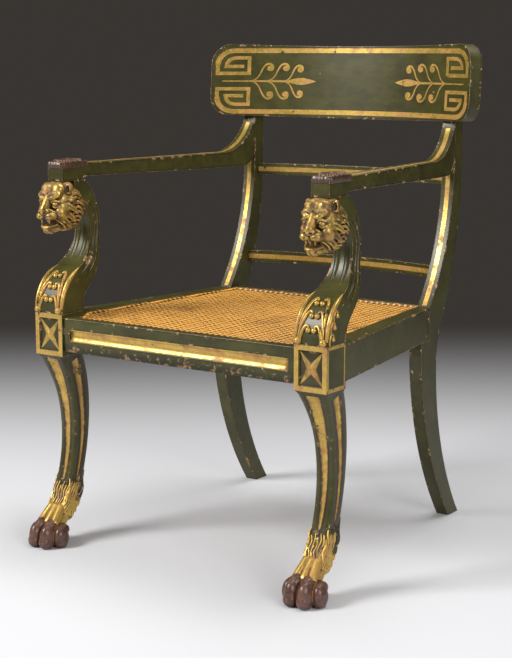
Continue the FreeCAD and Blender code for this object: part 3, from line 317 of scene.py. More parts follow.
def bronzed(finish, colours, relief, flecks):
    """Brown of the paws and caps, with rubbed gold on the ridges that also stands for their highlights,
    painted shade in the hollows and gilding in the deepest cuts.
    """
    brown = finish.mix(finish.noise(55, 4, 0.6).step(0.35, 0.62), shade(colours.bronze, 0.4), colours.bronze)
    speckle = finish.noise(420, 4, 0.7).step(0.40, 0.75)
    brown = finish.mix(speckle*0.6, brown, shade(colours.bronze, 2.1))
    # Rubbed gold on the ridges, which also stands for their painted highlights
    brown = finish.mix((relief + flecks*0.5).step(0.50, 0.80)*0.75, brown, colours.gilding_worn)
    # Painted shade in the hollows; the deepest cuts are gilt
    sunk = -relief
    brown = finish.mix(sunk.step(0.1, 0.7)*0.75, brown, colours.hollow)
    return finish.mix(sunk.step(0.95, 1.4)*0.8, brown, colours.gilding_worn)


def painted_finish(colours):
    """Worn olive paint, with gilding and bronzing where the piece's marks ask for them."""
    finish = Finish("olive_paint")
    relief, gilt, bronze = (finish.mark(name) for name in ("relief", "gilt", "bronze"))
    edge, rounded = finish.sharp_edges(2.2*MM)
    wide_edge = finish.sharp_edges(7*MM)[0]
    patches, mottles = finish.noise(7, 6, 0.68), finish.noise(24, 5, 0.62)
    streaks, flecks = finish.noise(90, 4, 0.6, (0.25, 1, 1)), finish.noise(240, 3, 0.6)
    foot_of_front_rail = low_front_edge(finish)

    # Green, with painted shade in the hollows, darker in the cracks and darker near the edges
    tone = patches*0.35 + streaks*0.30 + mottles*0.35
    green = finish.mix(tone.step(0.34, 0.66), colours.paint_dark, colours.paint)
    # Painted shade where the relief mark falls below 0, in hollows and recesses
    green = finish.mix((-relief).step(0.1, 0.8), green, colours.hollow)
    green = finish.mix((1.0 - finish.cracks(330).step(0.0, 0.035))*0.35, green, colours.hollow)
    # Darker within a few millimetres of every edge, outside and inside corners alike, in patches
    dark_near_edges = wide_edge.step(0.0, 0.03)*finish.blend(patches, 0.9, 0.3)
    green = finish.mix(dark_near_edges, green, shade(colours.paint_dark, 0.4))
    # Darker towards the bottom of the front rail's face
    green = finish.mix(foot_of_front_rail*0.7, green, shade(colours.paint_dark, 0.3))

    # Chips down to the ground and the wood
    breakup = finish.noise(26, 5, 0.65)*0.65 + flecks*0.35
    edge_wear = (breakup + edge*1.1).step(0.64, 0.72)*edge.step(0.015, 0.09)
    spots = finish.noise(70, 2, 0.4).step(0.765, 0.785)
    knocked = finish.noise(60, 4, 0.6).step(0.59, 0.62)*wide_edge.step(0.004, 0.03)
    kicks = finish.noise(120, 4, 0.65).step(0.56, 0.62)*foot_of_front_rail
    chips = edge_wear.larger(kicks).larger(spots.larger(knocked))
    bare = finish.mix(flecks.step(0.52, 0.62), colours.wood, colours.ground)
    bare = finish.mix(foot_of_front_rail*0.8, bare, shade(colours.wood, 0.55))
    paint = finish.mix(chips, green, bare)
    paint_rough = finish.blend(chips, finish.blend(patches, 0.26, 0.46), 0.7)

    # Gilding with a ragged edge, and bronzing over it
    gold, gold_rough, shine = gilt_parts(finish, colours, relief)
    gilt_share = (gilt + (flecks - 0.5)*0.7).step(0.42, 0.58)
    colour = finish.mix(gilt_share, paint, finish.mix(edge_wear*0.8, gold, bare))
    rough = finish.blend(gilt_share, paint_rough, gold_rough)
    colour = finish.mix(bronze, colour, bronzed(finish, colours, relief, flecks))
    rough = finish.blend(bronze, rough, 0.28)
    metal = gilt_share*shine*(0.72 - bronze*0.72)
    height = streaks*0.5 + flecks*0.3 - chips*0.9
    normal = finish.bump(height, 0.5*MM, 0.35, Normal=rounded)
    return finish.finish(Base_Color=colour, Roughness=rough, Metallic=metal, Normal=normal,
                         Specular_IOR_Level=0.4)


def gilt_finish(colours):
    """Rubbed gold leaf on its own: lines, hollows and masks."""
    finish = Finish("gold_leaf")
    colour, rough, shine = gilt_parts(finish, colours, finish.mark("relief"))
    flecks = finish.noise(240, 3, 0.6)
    gaps = (finish.noise(30, 5, 0.65) + flecks*0.3).step(0.80, 0.86)
    colour = finish.mix(gaps, colour, colours.paint_dark)
    stains = finish.mark("aged")*finish.noise(75, 5, 0.6).step(0.45, 0.60)
    colour = finish.mix(stains*0.74, colour, shade(colours.hollow, 2.2))
    pits = finish.noise(560, 3, 0.7).step(0.60, 0.68)
    colour = finish.mix(pits*0.55, colour, colours.hollow)
    return finish.finish(Base_Color=colour, Roughness=rough, Metallic=shine*(0.72 - gaps*0.6),
                         Normal=finish.bump(flecks, 0.35*MM, 0.3))


def cane_finish(colours):
    """Glossy split cane, each strand a little different, with painted shade round the holes of the weave."""
    finish = Finish("split_cane")
    fibre = finish.noise(700, 3, 0.6)
    light = finish.mix(finish.mark("tone").step(0.0, 1.0), shade(colours.cane, 0.72), colours.cane)
    colour = finish.mix(finish.noise(14, 4, 0.6).step(0.5, 0.75)*0.7, light, colours.cane_dark)
    colour = finish.mix(fibre.step(0.55, 0.7)*0.35, colour, colours.cane_dark)
    # Painted shade round the holes of the weave, darkest at each hole
    pitch = bpy.context.scene.armchair_sizes.cane_pitch
    across, along = finish.coordinates()[:2]
    shade_by_hole = []
    for spot, middle in ((across, 0.0), (along, CANE_MIDDLE)):
        off_centre = (((spot - middle)/pitch).alone("FRACT") - 0.5).alone("ABSOLUTE")
        shade_by_hole.append(1.0 - off_centre.step(0.20, 0.46))
    colour = finish.mix(shade_by_hole[0]*shade_by_hole[1]*0.88, colour, shade(colours.cane_dark, 0.2))
    return finish.finish(Base_Color=colour, Roughness=finish.blend(fibre, 0.34, 0.52),
                         Normal=finish.bump(fibre, 0.2*MM, 0.25))


def beech_finish(colours):
    """Bare aged beech with its flecked grain."""
    finish = Finish("aged_beech")
    grain = finish.noise(90, 5, 0.6, (0.12, 1, 1))
    flecks = finish.noise(420, 2, 0.5, (0.3, 1, 1))
    colour = finish.mix(grain.step(0.35, 0.7), shade(colours.beech, 0.6), colours.beech)
    colour = finish.mix(flecks.step(0.6, 0.7)*0.5, colour, shade(colours.beech, 0.4))
    return finish.finish(Base_Color=colour, Roughness=finish.blend(grain, 0.55, 0.75),
                         Normal=finish.bump(grain, 0.4*MM, 0.3))


def steel_finish(colours):
    """Darkened steel with a little rust."""
    finish = Finish("dark_steel")
    rust = (0.10, 0.045, 0.02)
    share = finish.noise(300, 4, 0.6).step(0.5, 0.7)
    return finish.finish(Base_Color=finish.mix(share, colours.steel, rust),
                         Roughness=finish.blend(share, 0.38, 0.75), Metallic=finish.blend(share, 0.9, 0.2))


FINISHES = {
    "olive_paint": painted_finish,
    "gold_leaf": gilt_finish,
    "split_cane": cane_finish,
    "aged_beech": beech_finish,
    "dark_steel": steel_finish,
}


def finish_named(name):
    """A finish, made once."""
    if name not in bpy.data.materials:
        FINISHES[name](bpy.context.scene.armchair_colours)
    return bpy.data.materials[name]


def paint_node(node, finish):
    """Give a solid of the frame a finish and leave its shape."""
    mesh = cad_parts[node].data
    mesh.materials.clear()
    mesh.materials.append(finish_named(finish))


# Meshes
def piece_from(name, mesh, finish, nodes=()):
    """A finished piece at the origin, riding on the chair and standing for its solids."""
    mesh.materials.clear()
    mesh.materials.append(finish_named(finish))
    piece = bpy.data.objects.new(name, mesh)
    bpy.context.scene.collection.objects.link(piece)
    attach(piece, "root")
    if nodes:
        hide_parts(*nodes)


def mesh_from(name, points, faces, smooth=True):
    mesh = bpy.data.meshes.new(name)
    mesh.from_pydata([tuple(point) for point in points], [], [tuple(face) for face in faces])
    mesh.validate()
    if smooth:
        mesh.shade_smooth()
    else:
        mesh.shade_flat()
    return mesh


def evaluated_mesh(mesh, make_modifier):
    """The mesh after one modifier."""
    helper = bpy.data.objects.new("helper", mesh)
    bpy.context.scene.collection.objects.link(helper)
    make_modifier(helper)
    bpy.context.view_layer.update()
    graph = bpy.context.evaluated_depsgraph_get()
    result = bpy.data.meshes.new_from_object(helper.evaluated_get(graph), depsgraph=graph)
    bpy.data.objects.remove(helper)
    return result


def solid_copy(node):
    """A copy of a frame solid with its loose triangles joined."""
    form = bmesh.new()
    form.from_mesh(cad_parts[node].data)
    bmesh.ops.remove_doubles(form, verts=form.verts, dist=0.01*MM)
    return form


def mesh_of(form, name):
    """The form as a new mesh; the form is used up."""
    mesh = bpy.data.meshes.new(name)
    form.to_mesh(mesh)
    form.free()
    return mesh


def smooth_mesh(form, name):
    """The form as a new mesh, smooth except at its sharp edges."""
    for face in form.faces:
        face.smooth = True
    for edge in form.edges:
        edge.smooth = len(edge.link_faces) == 2 and edge.calc_face_angle() < math.radians(30)
    return mesh_of(form, name)


def face_outwards(mesh):
    """Turn the faces of closed forms outwards."""
    form = bmesh.new()
    form.from_mesh(mesh)
    bmesh.ops.recalc_face_normals(form, faces=form.faces)
    form.to_mesh(mesh)
    form.free()
    return mesh


def ray_tree(node):
    """A frame solid that rays can be cast at."""
    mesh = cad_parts[node].data
    return BVHTree.FromPolygons([vertex.co for vertex in mesh.vertices],
                                [tuple(face.vertices) for face in mesh.polygons])


def points_of(mesh):
    points = np.empty(len(mesh.vertices)*3)
    mesh.vertices.foreach_get("co", points)
    return points.reshape(-1, 3)


def normals_of(mesh):
    normals = np.empty(len(mesh.vertices)*3, np.float32)
    mesh.vertex_normals.foreach_get("vector", normals)
    return normals.reshape(-1, 3)


def edges_of(mesh):
    edges = np.empty(len(mesh.edges)*2, np.int64)
    mesh.edges.foreach_get("vertices", edges)
    return edges.reshape(-1, 2)


def move_points(mesh, points):
    mesh.vertices.foreach_set("co", np.asarray(points, np.float32).ravel())
    mesh.update()


def neighbour_mean(values, edges):
    """The mean of each point's neighbours."""
    count = np.bincount(edges.ravel(), minlength=len(values))
    result = np.empty_like(values)
    for axis in range(values.shape[1]):
        total = np.bincount(edges[:, 0], values[edges[:, 1], axis], len(values))
        total += np.bincount(edges[:, 1], values[edges[:, 0], axis], len(values))
        result[:, axis] = total/np.maximum(count, 1)
    return result


def relaxed(points, edges, rounds, share=0.5):
    """Points eased towards their neighbours."""
    for turn in range(rounds):
        points = points + (neighbour_mean(points, edges) - points)*share
    return points


def mark(mesh, name, values):
    layer = mesh.attributes.new(name, "FLOAT", "POINT")
    layer.data.foreach_set("value", np.asarray(values, np.float32))


def relief_of(mesh, reach):
    """How far each point stands out of its surroundings: ridges above 0, hollows below."""
    points, edges = points_of(mesh), edges_of(mesh)
    smooth = relaxed(points, edges, 14)
    height = np.sum((points - smooth)*normals_of(mesh), axis=1)
    return np.clip(height/reach, -1.5, 1.5)


def darken(mesh, depth):
    """Lower the relief mark of a piece, all over or point by point: its finish paints it darker, with more
    painted shade and fewer painted highlights.
    """
    layer = mesh.attributes["relief"].data
    relief = np.empty(len(layer), np.float32)
    layer.foreach_get("value", relief)
    layer.foreach_set("value", (relief - depth).astype(np.float32))


def soft_step(values, low, high):
    share = np.clip((values - low)/(high - low), 0, 1)
    return share*share*(3 - 2*share)


def mirrored_mesh(mesh, name):
    """The left-hand twin of a right-hand mesh, with its faces outwards."""
    form = bmesh.new()
    form.from_mesh(mesh)
    for vertex in form.verts:
        vertex.co.x = -vertex.co.x
    bmesh.ops.reverse_faces(form, faces=form.faces)
    return mesh_of(form, name)


def spread_along(values, count):
    """A few values spread evenly over a longer row."""
    values = np.atleast_1d(values)
    return np.interp(np.linspace(0, 1, count), np.linspace(0, 1, len(values)), values)


def tube_faces(base, rings, sides):
    """Faces of a closed tube, whose rings of points follow one another from base."""
    faces = []
    for ring in range(rings - 1):
        here, there = base + ring*sides, base + (ring + 1)*sides
        for step in range(sides):
            turn = (step + 1) % sides
            faces.append((here + step, here + turn, there + turn, there + step))
    faces.append(tuple(base + step for step in reversed(range(sides))))
    faces.append(tuple(base + (rings - 1)*sides + step for step in range(sides)))
    return faces


def quarter_turn(centre, wide, tall, steps):
    """Points of a rounded corner, from above its centre to beside it, without the first."""
    angles = [math.pi/2*step/steps for step in range(1, steps + 1)]
    return [(centre[0] + wide*math.sin(angle), centre[1] + tall*math.cos(angle)) for angle in angles]


def oblong_gap(across, along, corner):
    """Distance outside an oblong with round corners, from the distances past its straight sides."""
    across, along = across + corner, along + corner
    return (np.hypot(np.maximum(across, 0), np.maximum(along, 0))
            + np.minimum(np.maximum(across, along), 0) - corner)


def curve_through(points, steps):
    """A smooth line through a few points."""
    points = np.asarray(points, float)
    padded = np.vstack([2*points[0] - points[1], points, 2*points[-1] - points[-2]])
    line = []
    for index in range(len(points) - 1):
        before, start, end, after = padded[index:index + 4]
        for share in np.arange(steps)/steps:
            square, cube = share**2, share**3
            line.append(0.5*(2*start + (end - before)*share
                             + (2*before - 5*start + 4*end - after)*square
                             + (3*start - before - 3*end + after)*cube))
    line.append(points[-1])
    return np.array(line)


# Gilt lines laid on a solid
class Surface:
    """A frame solid that lines can be laid on, seen along a direction."""

    def __init__(self, node, across, along, look):
        self.tree = ray_tree(node)
        self.across, self.along, self.look = Vector(across), Vector(along), Vector(look).normalized()

    def touch(self, spot):
        """Place and normal of the surface at a spot of the flat drawing."""
        start = self.across*spot[0] + self.along*spot[1] - self.look*1.0
        place, normal = self.tree.ray_cast(start, self.look)[:2]
        if place is None:
            raise RuntimeError(f"a gilt line misses its surface at {tuple(spot)}")
        return place, normal if normal.dot(self.look) < 0 else -normal


def stroke_sides(line, widths):
    """Left and right edges of a flat stroke with mitred corners."""
    before = np.vstack([2*line[:1] - line[1:2], line[:-1]])
    after = np.vstack([line[1:], 2*line[-1:] - line[-2:-1]])
    into = (line - before)/np.linalg.norm(line - before, axis=1, keepdims=True)
    out = (after - line)/np.linalg.norm(after - line, axis=1, keepdims=True)
    corner = np.stack([-(into + out)[:, 1], (into + out)[:, 0]], axis=1)
    corner /= np.linalg.norm(corner, axis=1, keepdims=True)
    spread = np.abs(corner[:, 0]*-into[:, 1] + corner[:, 1]*into[:, 0])
    half = widths/2/np.maximum(spread, 0.5)
    return line + corner*half[:, None], line - corner*half[:, None]


def divided(line, reach):
    """A drawn line with extra points, so that it follows a curved surface."""
    result = [np.asarray(line[0], float)]
    for start, end in zip(line[:-1], line[1:]):
        start, end = np.asarray(start, float), np.asarray(end, float)
        parts = max(1, int(math.ceil(np.linalg.norm(end - start)/reach)))
        for part in range(1, parts + 1):
            result.append(start + (end - start)*part/parts)
    return np.array(result)


class Gilder:
    """Collects gilt strokes and dots as thin closed strips."""

    def __init__(self, lift):
        self.points, self.faces, self.lift = [], [], lift

    def strip(self, rings):
        """A closed strip through rings of points."""
        self.faces += tube_faces(len(self.points), len(rings), len(rings[0]))
        for ring in rings:
            self.points.extend(ring)

    def stroke(self, surface, line, width, reach=6*MM):
        """A drawn line laid on a surface, of one width or of widths that change on the way."""
        line = divided(line, reach)
        left, right = stroke_sides(line, spread_along(width, len(line)))
        rings = []
        for first, second in zip(left, right):
            (a, a_normal), (b, b_normal) = surface.touch(first), surface.touch(second)
            rings.append([a + a_normal*self.lift, b + b_normal*self.lift,
                          b - b_normal*GILT_SINK, a - a_normal*GILT_SINK])
        self.strip(rings)

    def dot(self, surface, centre, radius):
        """A round dot laid on a surface."""
        sides = 18
        rim = []
        for step in range(sides):
            angle = 2*math.pi*step/sides
            spot = (centre[0] + radius*math.cos(angle), centre[1] + radius*math.sin(angle))
            rim.append(surface.touch(spot))
        heights = (self.lift*1.6, -GILT_SINK)
        self.strip([[place + normal*height for place, normal in rim] for height in heights])

    def piece(self, name):
        mesh = face_outwards(mesh_from(name, self.points, self.faces, smooth=False))
        piece_from(name, mesh, "gold_leaf")


def seen_from_front(node):
    """Drawings on this surface are (x, z)."""
    return Surface(node, (1, 0, 0), (0, 0, 1), (0, 1, 0))


# Carving: forms blended on a fine grid and skinned, and raised lines
class Clay:
    """A block of space, measured in millimetres, in which forms are added and cut with soft joins."""

    def __init__(self, low, high, cell):
        self.low, self.cell, self.reach = np.array(low, float), cell, 6.0
        counts = np.ceil((np.array(high) - low)/cell).astype(int) + 1
        self.axes = [self.low[axis] + cell*np.arange(counts[axis]) for axis in range(3)]
        far_outside = 50.0
        self.field = np.full(counts, far_outside, np.float32)

    def window(self, low, high):
        """The part of the grid between two corners, and its coordinates."""
        parts, spots = [], []
        for axis in range(3):
            start, end = np.searchsorted(self.axes[axis], (low[axis], high[axis]))
            parts.append(slice(start, end))
            shape = [1, 1, 1]
            shape[axis] = -1
            spots.append(self.axes[axis][start:end].reshape(shape))
        return tuple(parts), spots

    def join(self, part, distance, soft):
        """Add a form, given by the distance outside it, with a soft join."""
        here = self.field[part]
        share = np.clip(0.5 + 0.5*(here - distance)/soft, 0, 1)
        self.field[part] = here + (distance - here)*share - soft*share*(1 - share)

    def carve(self, part, distance, soft):
        """Cut a form away, given by the distance outside it, with a soft edge."""
        here = self.field[part]
        share = np.clip(0.5 - 0.5*(here + distance)/soft, 0, 1)
        self.field[part] = here + (-distance - here)*share + soft*share*(1 - share)

    def clear(self, low, high):
        """Take away all clay between two corners."""
        just_outside = 5.0
        self.field[self.window(low, high)[0]] = just_outside

    def ball(self, centre, radii, soft, cut=False):
        """An egg-shaped form, added or cut away."""
        centre, radii = np.array(centre, float), np.array(radii, float)
        margin = max(3*soft, self.reach)
        part, spots = self.window(centre - radii - margin, centre + radii + margin)
        scaled = sum(((spot - middle)/radius)**2 for spot, middle, radius in zip(spots, centre, radii))
        steep = sum(((spot - middle)/radius**2)**2 for spot, middle, radius in zip(spots, centre, radii))
        scaled, steep = np.sqrt(scaled), np.sqrt(steep) + 1e-9
        distance = np.maximum(scaled*(scaled - 1)/steep, -radii.min())
        (self.carve if cut else self.join)(part, distance, soft)

    def roll(self, start, end, thick, thin, soft, cut=False):
        """A round-ended form from start to end, tapering from thick to thin."""
        start, end = np.array(start, float), np.array(end, float)
        margin = max(thick, thin) + max(3*soft, self.reach)
        part, spots = self.window(np.minimum(start, end) - margin, np.maximum(start, end) + margin)
        way = end - start
        along = sum((spot - place)*step for spot, place, step in zip(spots, start, way))/(way @ way)
        along = np.clip(along, 0, 1)
        gap = sum((spot - place - along*step)**2 for spot, place, step in zip(spots, start, way))
        distance = np.sqrt(gap) - (thick + (thin - thick)*along)
        (self.carve if cut else self.join)(part, distance, soft)

    def tress(self, line, radii, soft, cut=False):
        """A curved form through a few points, its radius changing on the way."""
        points = curve_through(line, 3)
        sizes = spread_along(radii, len(points))
        for start, end, thick, thin in zip(points[:-1], points[1:], sizes[:-1], sizes[1:]):
            self.roll(start, end, thick, thin, soft, cut)

    def skin(self, name, place):
        """The surface of the clay as a mesh, moved to its place in the chair."""
        inside = self.field < 0

        # One point in each cell that the surface crosses, in the middle of its crossings
        corners = np.array([(a, b, c) for a in (0, 1) for b in (0, 1) for c in (0, 1)])
        size = np.array(inside.shape) - 1
        filled = sum(inside[a:a + size[0], b:b + size[1], c:c + size[2]].astype(np.int8)
                     for a, b, c in corners)
        mixed = (filled > 0) & (filled < 8)
        number = np.full(size, -1)
        number[mixed] = np.arange(mixed.sum())
        cells = np.argwhere(mixed)
        total, hits = np.zeros((len(cells), 3)), np.zeros((len(cells), 1))
        for first in corners:
            for axis in range(3):
                if first[axis]:
                    continue
                second = first + np.eye(3, dtype=int)[axis]
                before, after = self.field[tuple((cells + first).T)], self.field[tuple((cells + second).T)]
                crossing = (before < 0) != (after < 0)
                share = before[crossing]/(before[crossing] - after[crossing])
                total[crossing] += first + share[:, None]*(second - first)
                hits[crossing] += 1
        points = self.low + self.cell*(cells + total/np.maximum(hits, 1))

        # One face round each grid edge that the surface crosses
        faces = []
        for axis in range(3):
            along = np.eye(3, dtype=int)
            step, across, up = along[axis], along[(axis + 1) % 3], along[(axis + 2) % 3]
            lower = inside[tuple(slice(None, -1) if turn == axis else slice(1, -1) for turn in range(3))]
            upper = inside[tuple(slice(1, None) if turn == axis else slice(1, -1) for turn in range(3))]
            spots = np.argwhere(lower != upper) + (1 - step)
            ring = np.stack([number[tuple((spots - back).T)]
                             for back in (across + up, up, np.zeros(3, int), across)], axis=1)
            inward = ~inside[tuple(spots.T)]
            ring[inward] = ring[inward][:, ::-1]
            faces.append(ring)
        mesh = mesh_from(name, points*MM + np.array(place), np.vstack(faces))
        move_points(mesh, relaxed(points_of(mesh), edges_of(mesh), 1, 0.4))
        # The relief mark: ridges above 0, which the finishes paint lighter as highlights, and hollows below
        # 0, deepened by how far the carving closes in, which they paint as shade
        mark(mesh, "relief", relief_of(mesh, 0.9*MM) - 1.3*self.hollows(mesh, place))
        return mesh

    def hollows(self, mesh, place):
        """How far the carving closes in over each point, 0 in the open and 1 in a deep hollow: the depth of
        its painted shade.
        """
        points, normals = (points_of(mesh) - np.array(place))/MM, normals_of(mesh)
        closed = 0
        for reach in (1.5, 3.0, 5.5):
            spots = np.rint((points + normals*reach - self.low)/self.cell).astype(int)
            spots = np.clip(spots, 0, np.array(self.field.shape) - 1)
            closed = closed + np.clip(1 - self.field[tuple(spots.T)]/reach, 0, 1)/3
        return soft_step(closed, 0.12, 0.8)


class Tubes:
    """Collects round raised lines and beads as closed forms."""

    def __init__(self):
        self.points, self.faces, self.sides = [], [], 10

    def tube(self, line, radii):
        """A round line whose radius changes on the way."""
        line = np.asarray(line, float)
        radii = spread_along(radii, len(line))
        ways = np.gradient(line, axis=0)
        ways /= np.linalg.norm(ways, axis=1, keepdims=True)
        slanted = (0.31, 0.87, 0.38)
        side = np.cross(ways[0], slanted)
        self.faces += tube_faces(len(self.points), len(line), self.sides)
        for place, way, radius in zip(line, ways, radii):
            side = side - way*(side @ way)
            side /= np.linalg.norm(side)
            up = np.cross(way, side)
            for step in range(self.sides):
                angle = 2*math.pi*step/self.sides
                self.points.append(place + radius*(side*math.cos(angle) + up*math.sin(angle)))

    def bead(self, centre, radius):
        """A ball, made as a short tube that closes at both ends."""
        rise = np.linspace(-1, 1, 9)
        line = np.array(centre) + np.outer(rise*radius*0.995, (0, 0, 1))
        self.tube(line, list(radius*np.sqrt(np.maximum(1 - rise**2, 0.01))))

    def mesh(self, name):
        return face_outwards(mesh_from(name, self.points, self.faces))


class ARMCHAIR_OT_crest(bpy.types.Operator):
    """Paint the crest tablet and draw its gilt key fret, sprigs and borders"""

    bl_idname = "armchair.crest"
    bl_label = "Crest tablet"

    def execute(self, context):
        sizes = context.scene.armchair_sizes
        paint_node("crest_tablet", "olive_paint")
        surface = seen_from_front("crest_tablet")
        gilder = Gilder(sizes.gilt_lift)
        middle = (CREST_TOP + CREST_BOTTOM)/2
        inset = 12.3*MM
        half = (CREST_TOP - CREST_BOTTOM)/2 - inset
        for side in (-1, 1):
            for up in (-1, 1):
                self.key(gilder, surface, side, up, middle, half)
            self.sprig(gilder, surface, side, middle)
        gilder.piece("crest_gilding")
        return {"FINISHED"}

    def key(self, gilder, surface, side, up, middle, half):
        """Half a border and the squared spiral in which it ends."""
        outer, inner, corner, turn = 264*MM, 211*MM, 27*MM, 16*MM
        low, core, high = 14.5*MM, 27.5*MM, 43.5*MM
        end = 250*MM - turn
        border = [(0, half), (outer - corner, half)]
        border += quarter_turn((outer - corner, half - corner), corner, corner, 7)
        spiral = [border[-1], (outer, low), (inner, low), (inner, high), (end, high)]
        spiral += quarter_turn((end, core), turn, high - core, 4)
        spiral.append((inner + 9*MM, core))
        for line, width in ((border, 8.6*MM), (spiral, 6.4*MM)):
            gilder.stroke(surface, [(side*across, middle + up*rise) for across, rise in line], width)

    def sprig(self, gilder, surface, side, middle):
        """A stem with three pairs of curled tendrils and a pointed bud."""
        def place(points):
            return [(side*across, middle + rise) for across, rise in points]

        gilder.stroke(surface, place([(256*MM, 0), (200*MM, 0), (140*MM, 0)]), [2.2*MM, 3.2*MM, 4*MM])
        bud = [(147*MM, 0), (139*MM, 0), (124*MM, 0), (110*MM, 0), (96*MM, 0), (86*MM, 0)]
        gilder.stroke(surface, place(bud), [3.5*MM, 6*MM, 11.5*MM, 13*MM, 8*MM, 1*MM], 3*MM)
        curl = [(0, 0), (7, 3.5), (13, 11), (17.5, 21), (23, 29), (30, 31.5), (35.5, 28), (36, 22), (32, 19)]
        swell = [1.8*MM, 2.6*MM, 3.4*MM, 4.6*MM, 4*MM]
        for root, scale in ((205*MM, 1.0), (176*MM, 1.0), (145*MM, 0.9)):
            for up in (-1, 1):
                line = [(root - scale*across*MM, up*(1 + scale*rise)*MM) for across, rise in curl]
                gilder.stroke(surface, place(curve_through(line, 5)), swell, 4*MM)
                gilder.dot(surface, place([(root - 31*scale*MM, up*24*scale*MM)])[0], 5*MM)


class ARMCHAIR_OT_back(bpy.types.Operator):
    """Paint the rear legs and back rails and draw their gilt lines"""

    bl_idname = "armchair.back"
    bl_label = "Rear legs and back rails"

    def execute(self, context):
        sizes = context.scene.armchair_sizes
        gilder = Gilder(sizes.gilt_lift)
        for side, node in ((-1, "rear_leg_left"), (1, "rear_leg_right")):
            paint_node(node, "olive_paint")
            line = [(side*STILE_MIDDLE, ARM_BOTTOM + 14*MM), (side*STILE_MIDDLE, RAIL_HIGH.z + 3*MM)]
            gilder.stroke(seen_from_front(node), line, sizes.gilt_line)
        for node in ("upper_back_rail", "lower_back_rail"):
            paint_node(node, "olive_paint")
            low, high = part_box(node)
            level = (low.z + high.z)/2
            reach = 200*MM
            gilder.stroke(seen_from_front(node), [(-reach, level), (reach, level)], sizes.gilt_line)
        gilder.piece("back_gilding")
        return {"FINISHED"}


class ARMCHAIR_OT_seat_frame(bpy.types.Operator):
    """Paint the seat rails and gild the hollow of the front rail"""

    bl_idname = "armchair.seat_frame"
    bl_label = "Seat frame"

    def execute(self, context):
        sizes = context.scene.armchair_sizes
        for node in ("front_seat_rail", "rear_seat_rail", "side_seat_rail_left", "side_seat_rail_right"):
            paint_node(node, "olive_paint")
        surface = seen_from_front("front_seat_rail")
        reach = 219.5*MM
        level = (RAIL_LOW.z + RAIL_HIGH.z)/2
        half = 9.9*MM

        # Front and back of a thin sheet in the hollow, and the rim between them
        columns, rows = 60, 11
        points, faces = [], []
        for height in (sizes.gilt_lift, -GILT_SINK):
            for row in range(rows):
                rise = level - half + 2*half*row/(rows - 1)
                for column in range(columns):
                    place, normal = surface.touch((-reach + 2*reach*column/(columns - 1), rise))
                    points.append(place + normal*height)
        back = rows*columns
        for row in range(rows - 1):
            for column in range(columns - 1):
                corner = row*columns + column
                ring = (corner, corner + 1, corner + columns + 1, corner + columns)
                faces.append(ring)
                faces.append(tuple(back + index for index in reversed(ring)))
        rim = list(range(columns))
        rim += [row*columns + columns - 1 for row in range(1, rows)]
        rim += [(rows - 1)*columns + column for column in range(columns - 2, -1, -1)]
        rim += [row*columns for row in range(rows - 2, 0, -1)]
        for start, end in zip(rim, rim[1:] + rim[:1]):
            faces.append((end, start, back + start, back + end))
        mesh = mesh_from("front_rail_gilding", points, faces)
        piece_from("front_rail_gilding", mesh, "gold_leaf")
        return {"FINISHED"}


# Woven cane
def cane_plan():
    """Corners of the cane, round from the front right."""
    points = points_of(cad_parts["cane_seat"].data)
    front_x = points[points[:, 1] < CANE_LOW.y + 0.1*MM, 0].max()
    rear_x = points[points[:, 1] > CANE_HIGH.y - 0.1*MM, 0].max()
    wide_y = points[points[:, 0] > CANE_HIGH.x - 0.1*MM, 1].mean()
    right = [(front_x, CANE_LOW.y), (CANE_HIGH.x, wide_y), (rear_x, CANE_HIGH.y)]
    return np.array(right + [(-across, along) for across, along in reversed(right)])


def clipped(start, way, plan):
    """The stretch of an endless line inside a convex plan, or None."""
    low, high = -10.0, 10.0
    for corner, after in zip(plan, np.roll(plan, -1, axis=0)):
        inward = np.array([-(after - corner)[1], (after - corner)[0]])
        speed, gap = inward @ way, inward @ (start - corner)
        if abs(speed) < 1e-9:
            if gap < 0:
                return None
            continue
        cross = -gap/speed
        low, high = (max(low, cross), high) if speed > 0 else (low, min(high, cross))
    return (start + way*low, start + way*high) if high - low > 4*MM else None


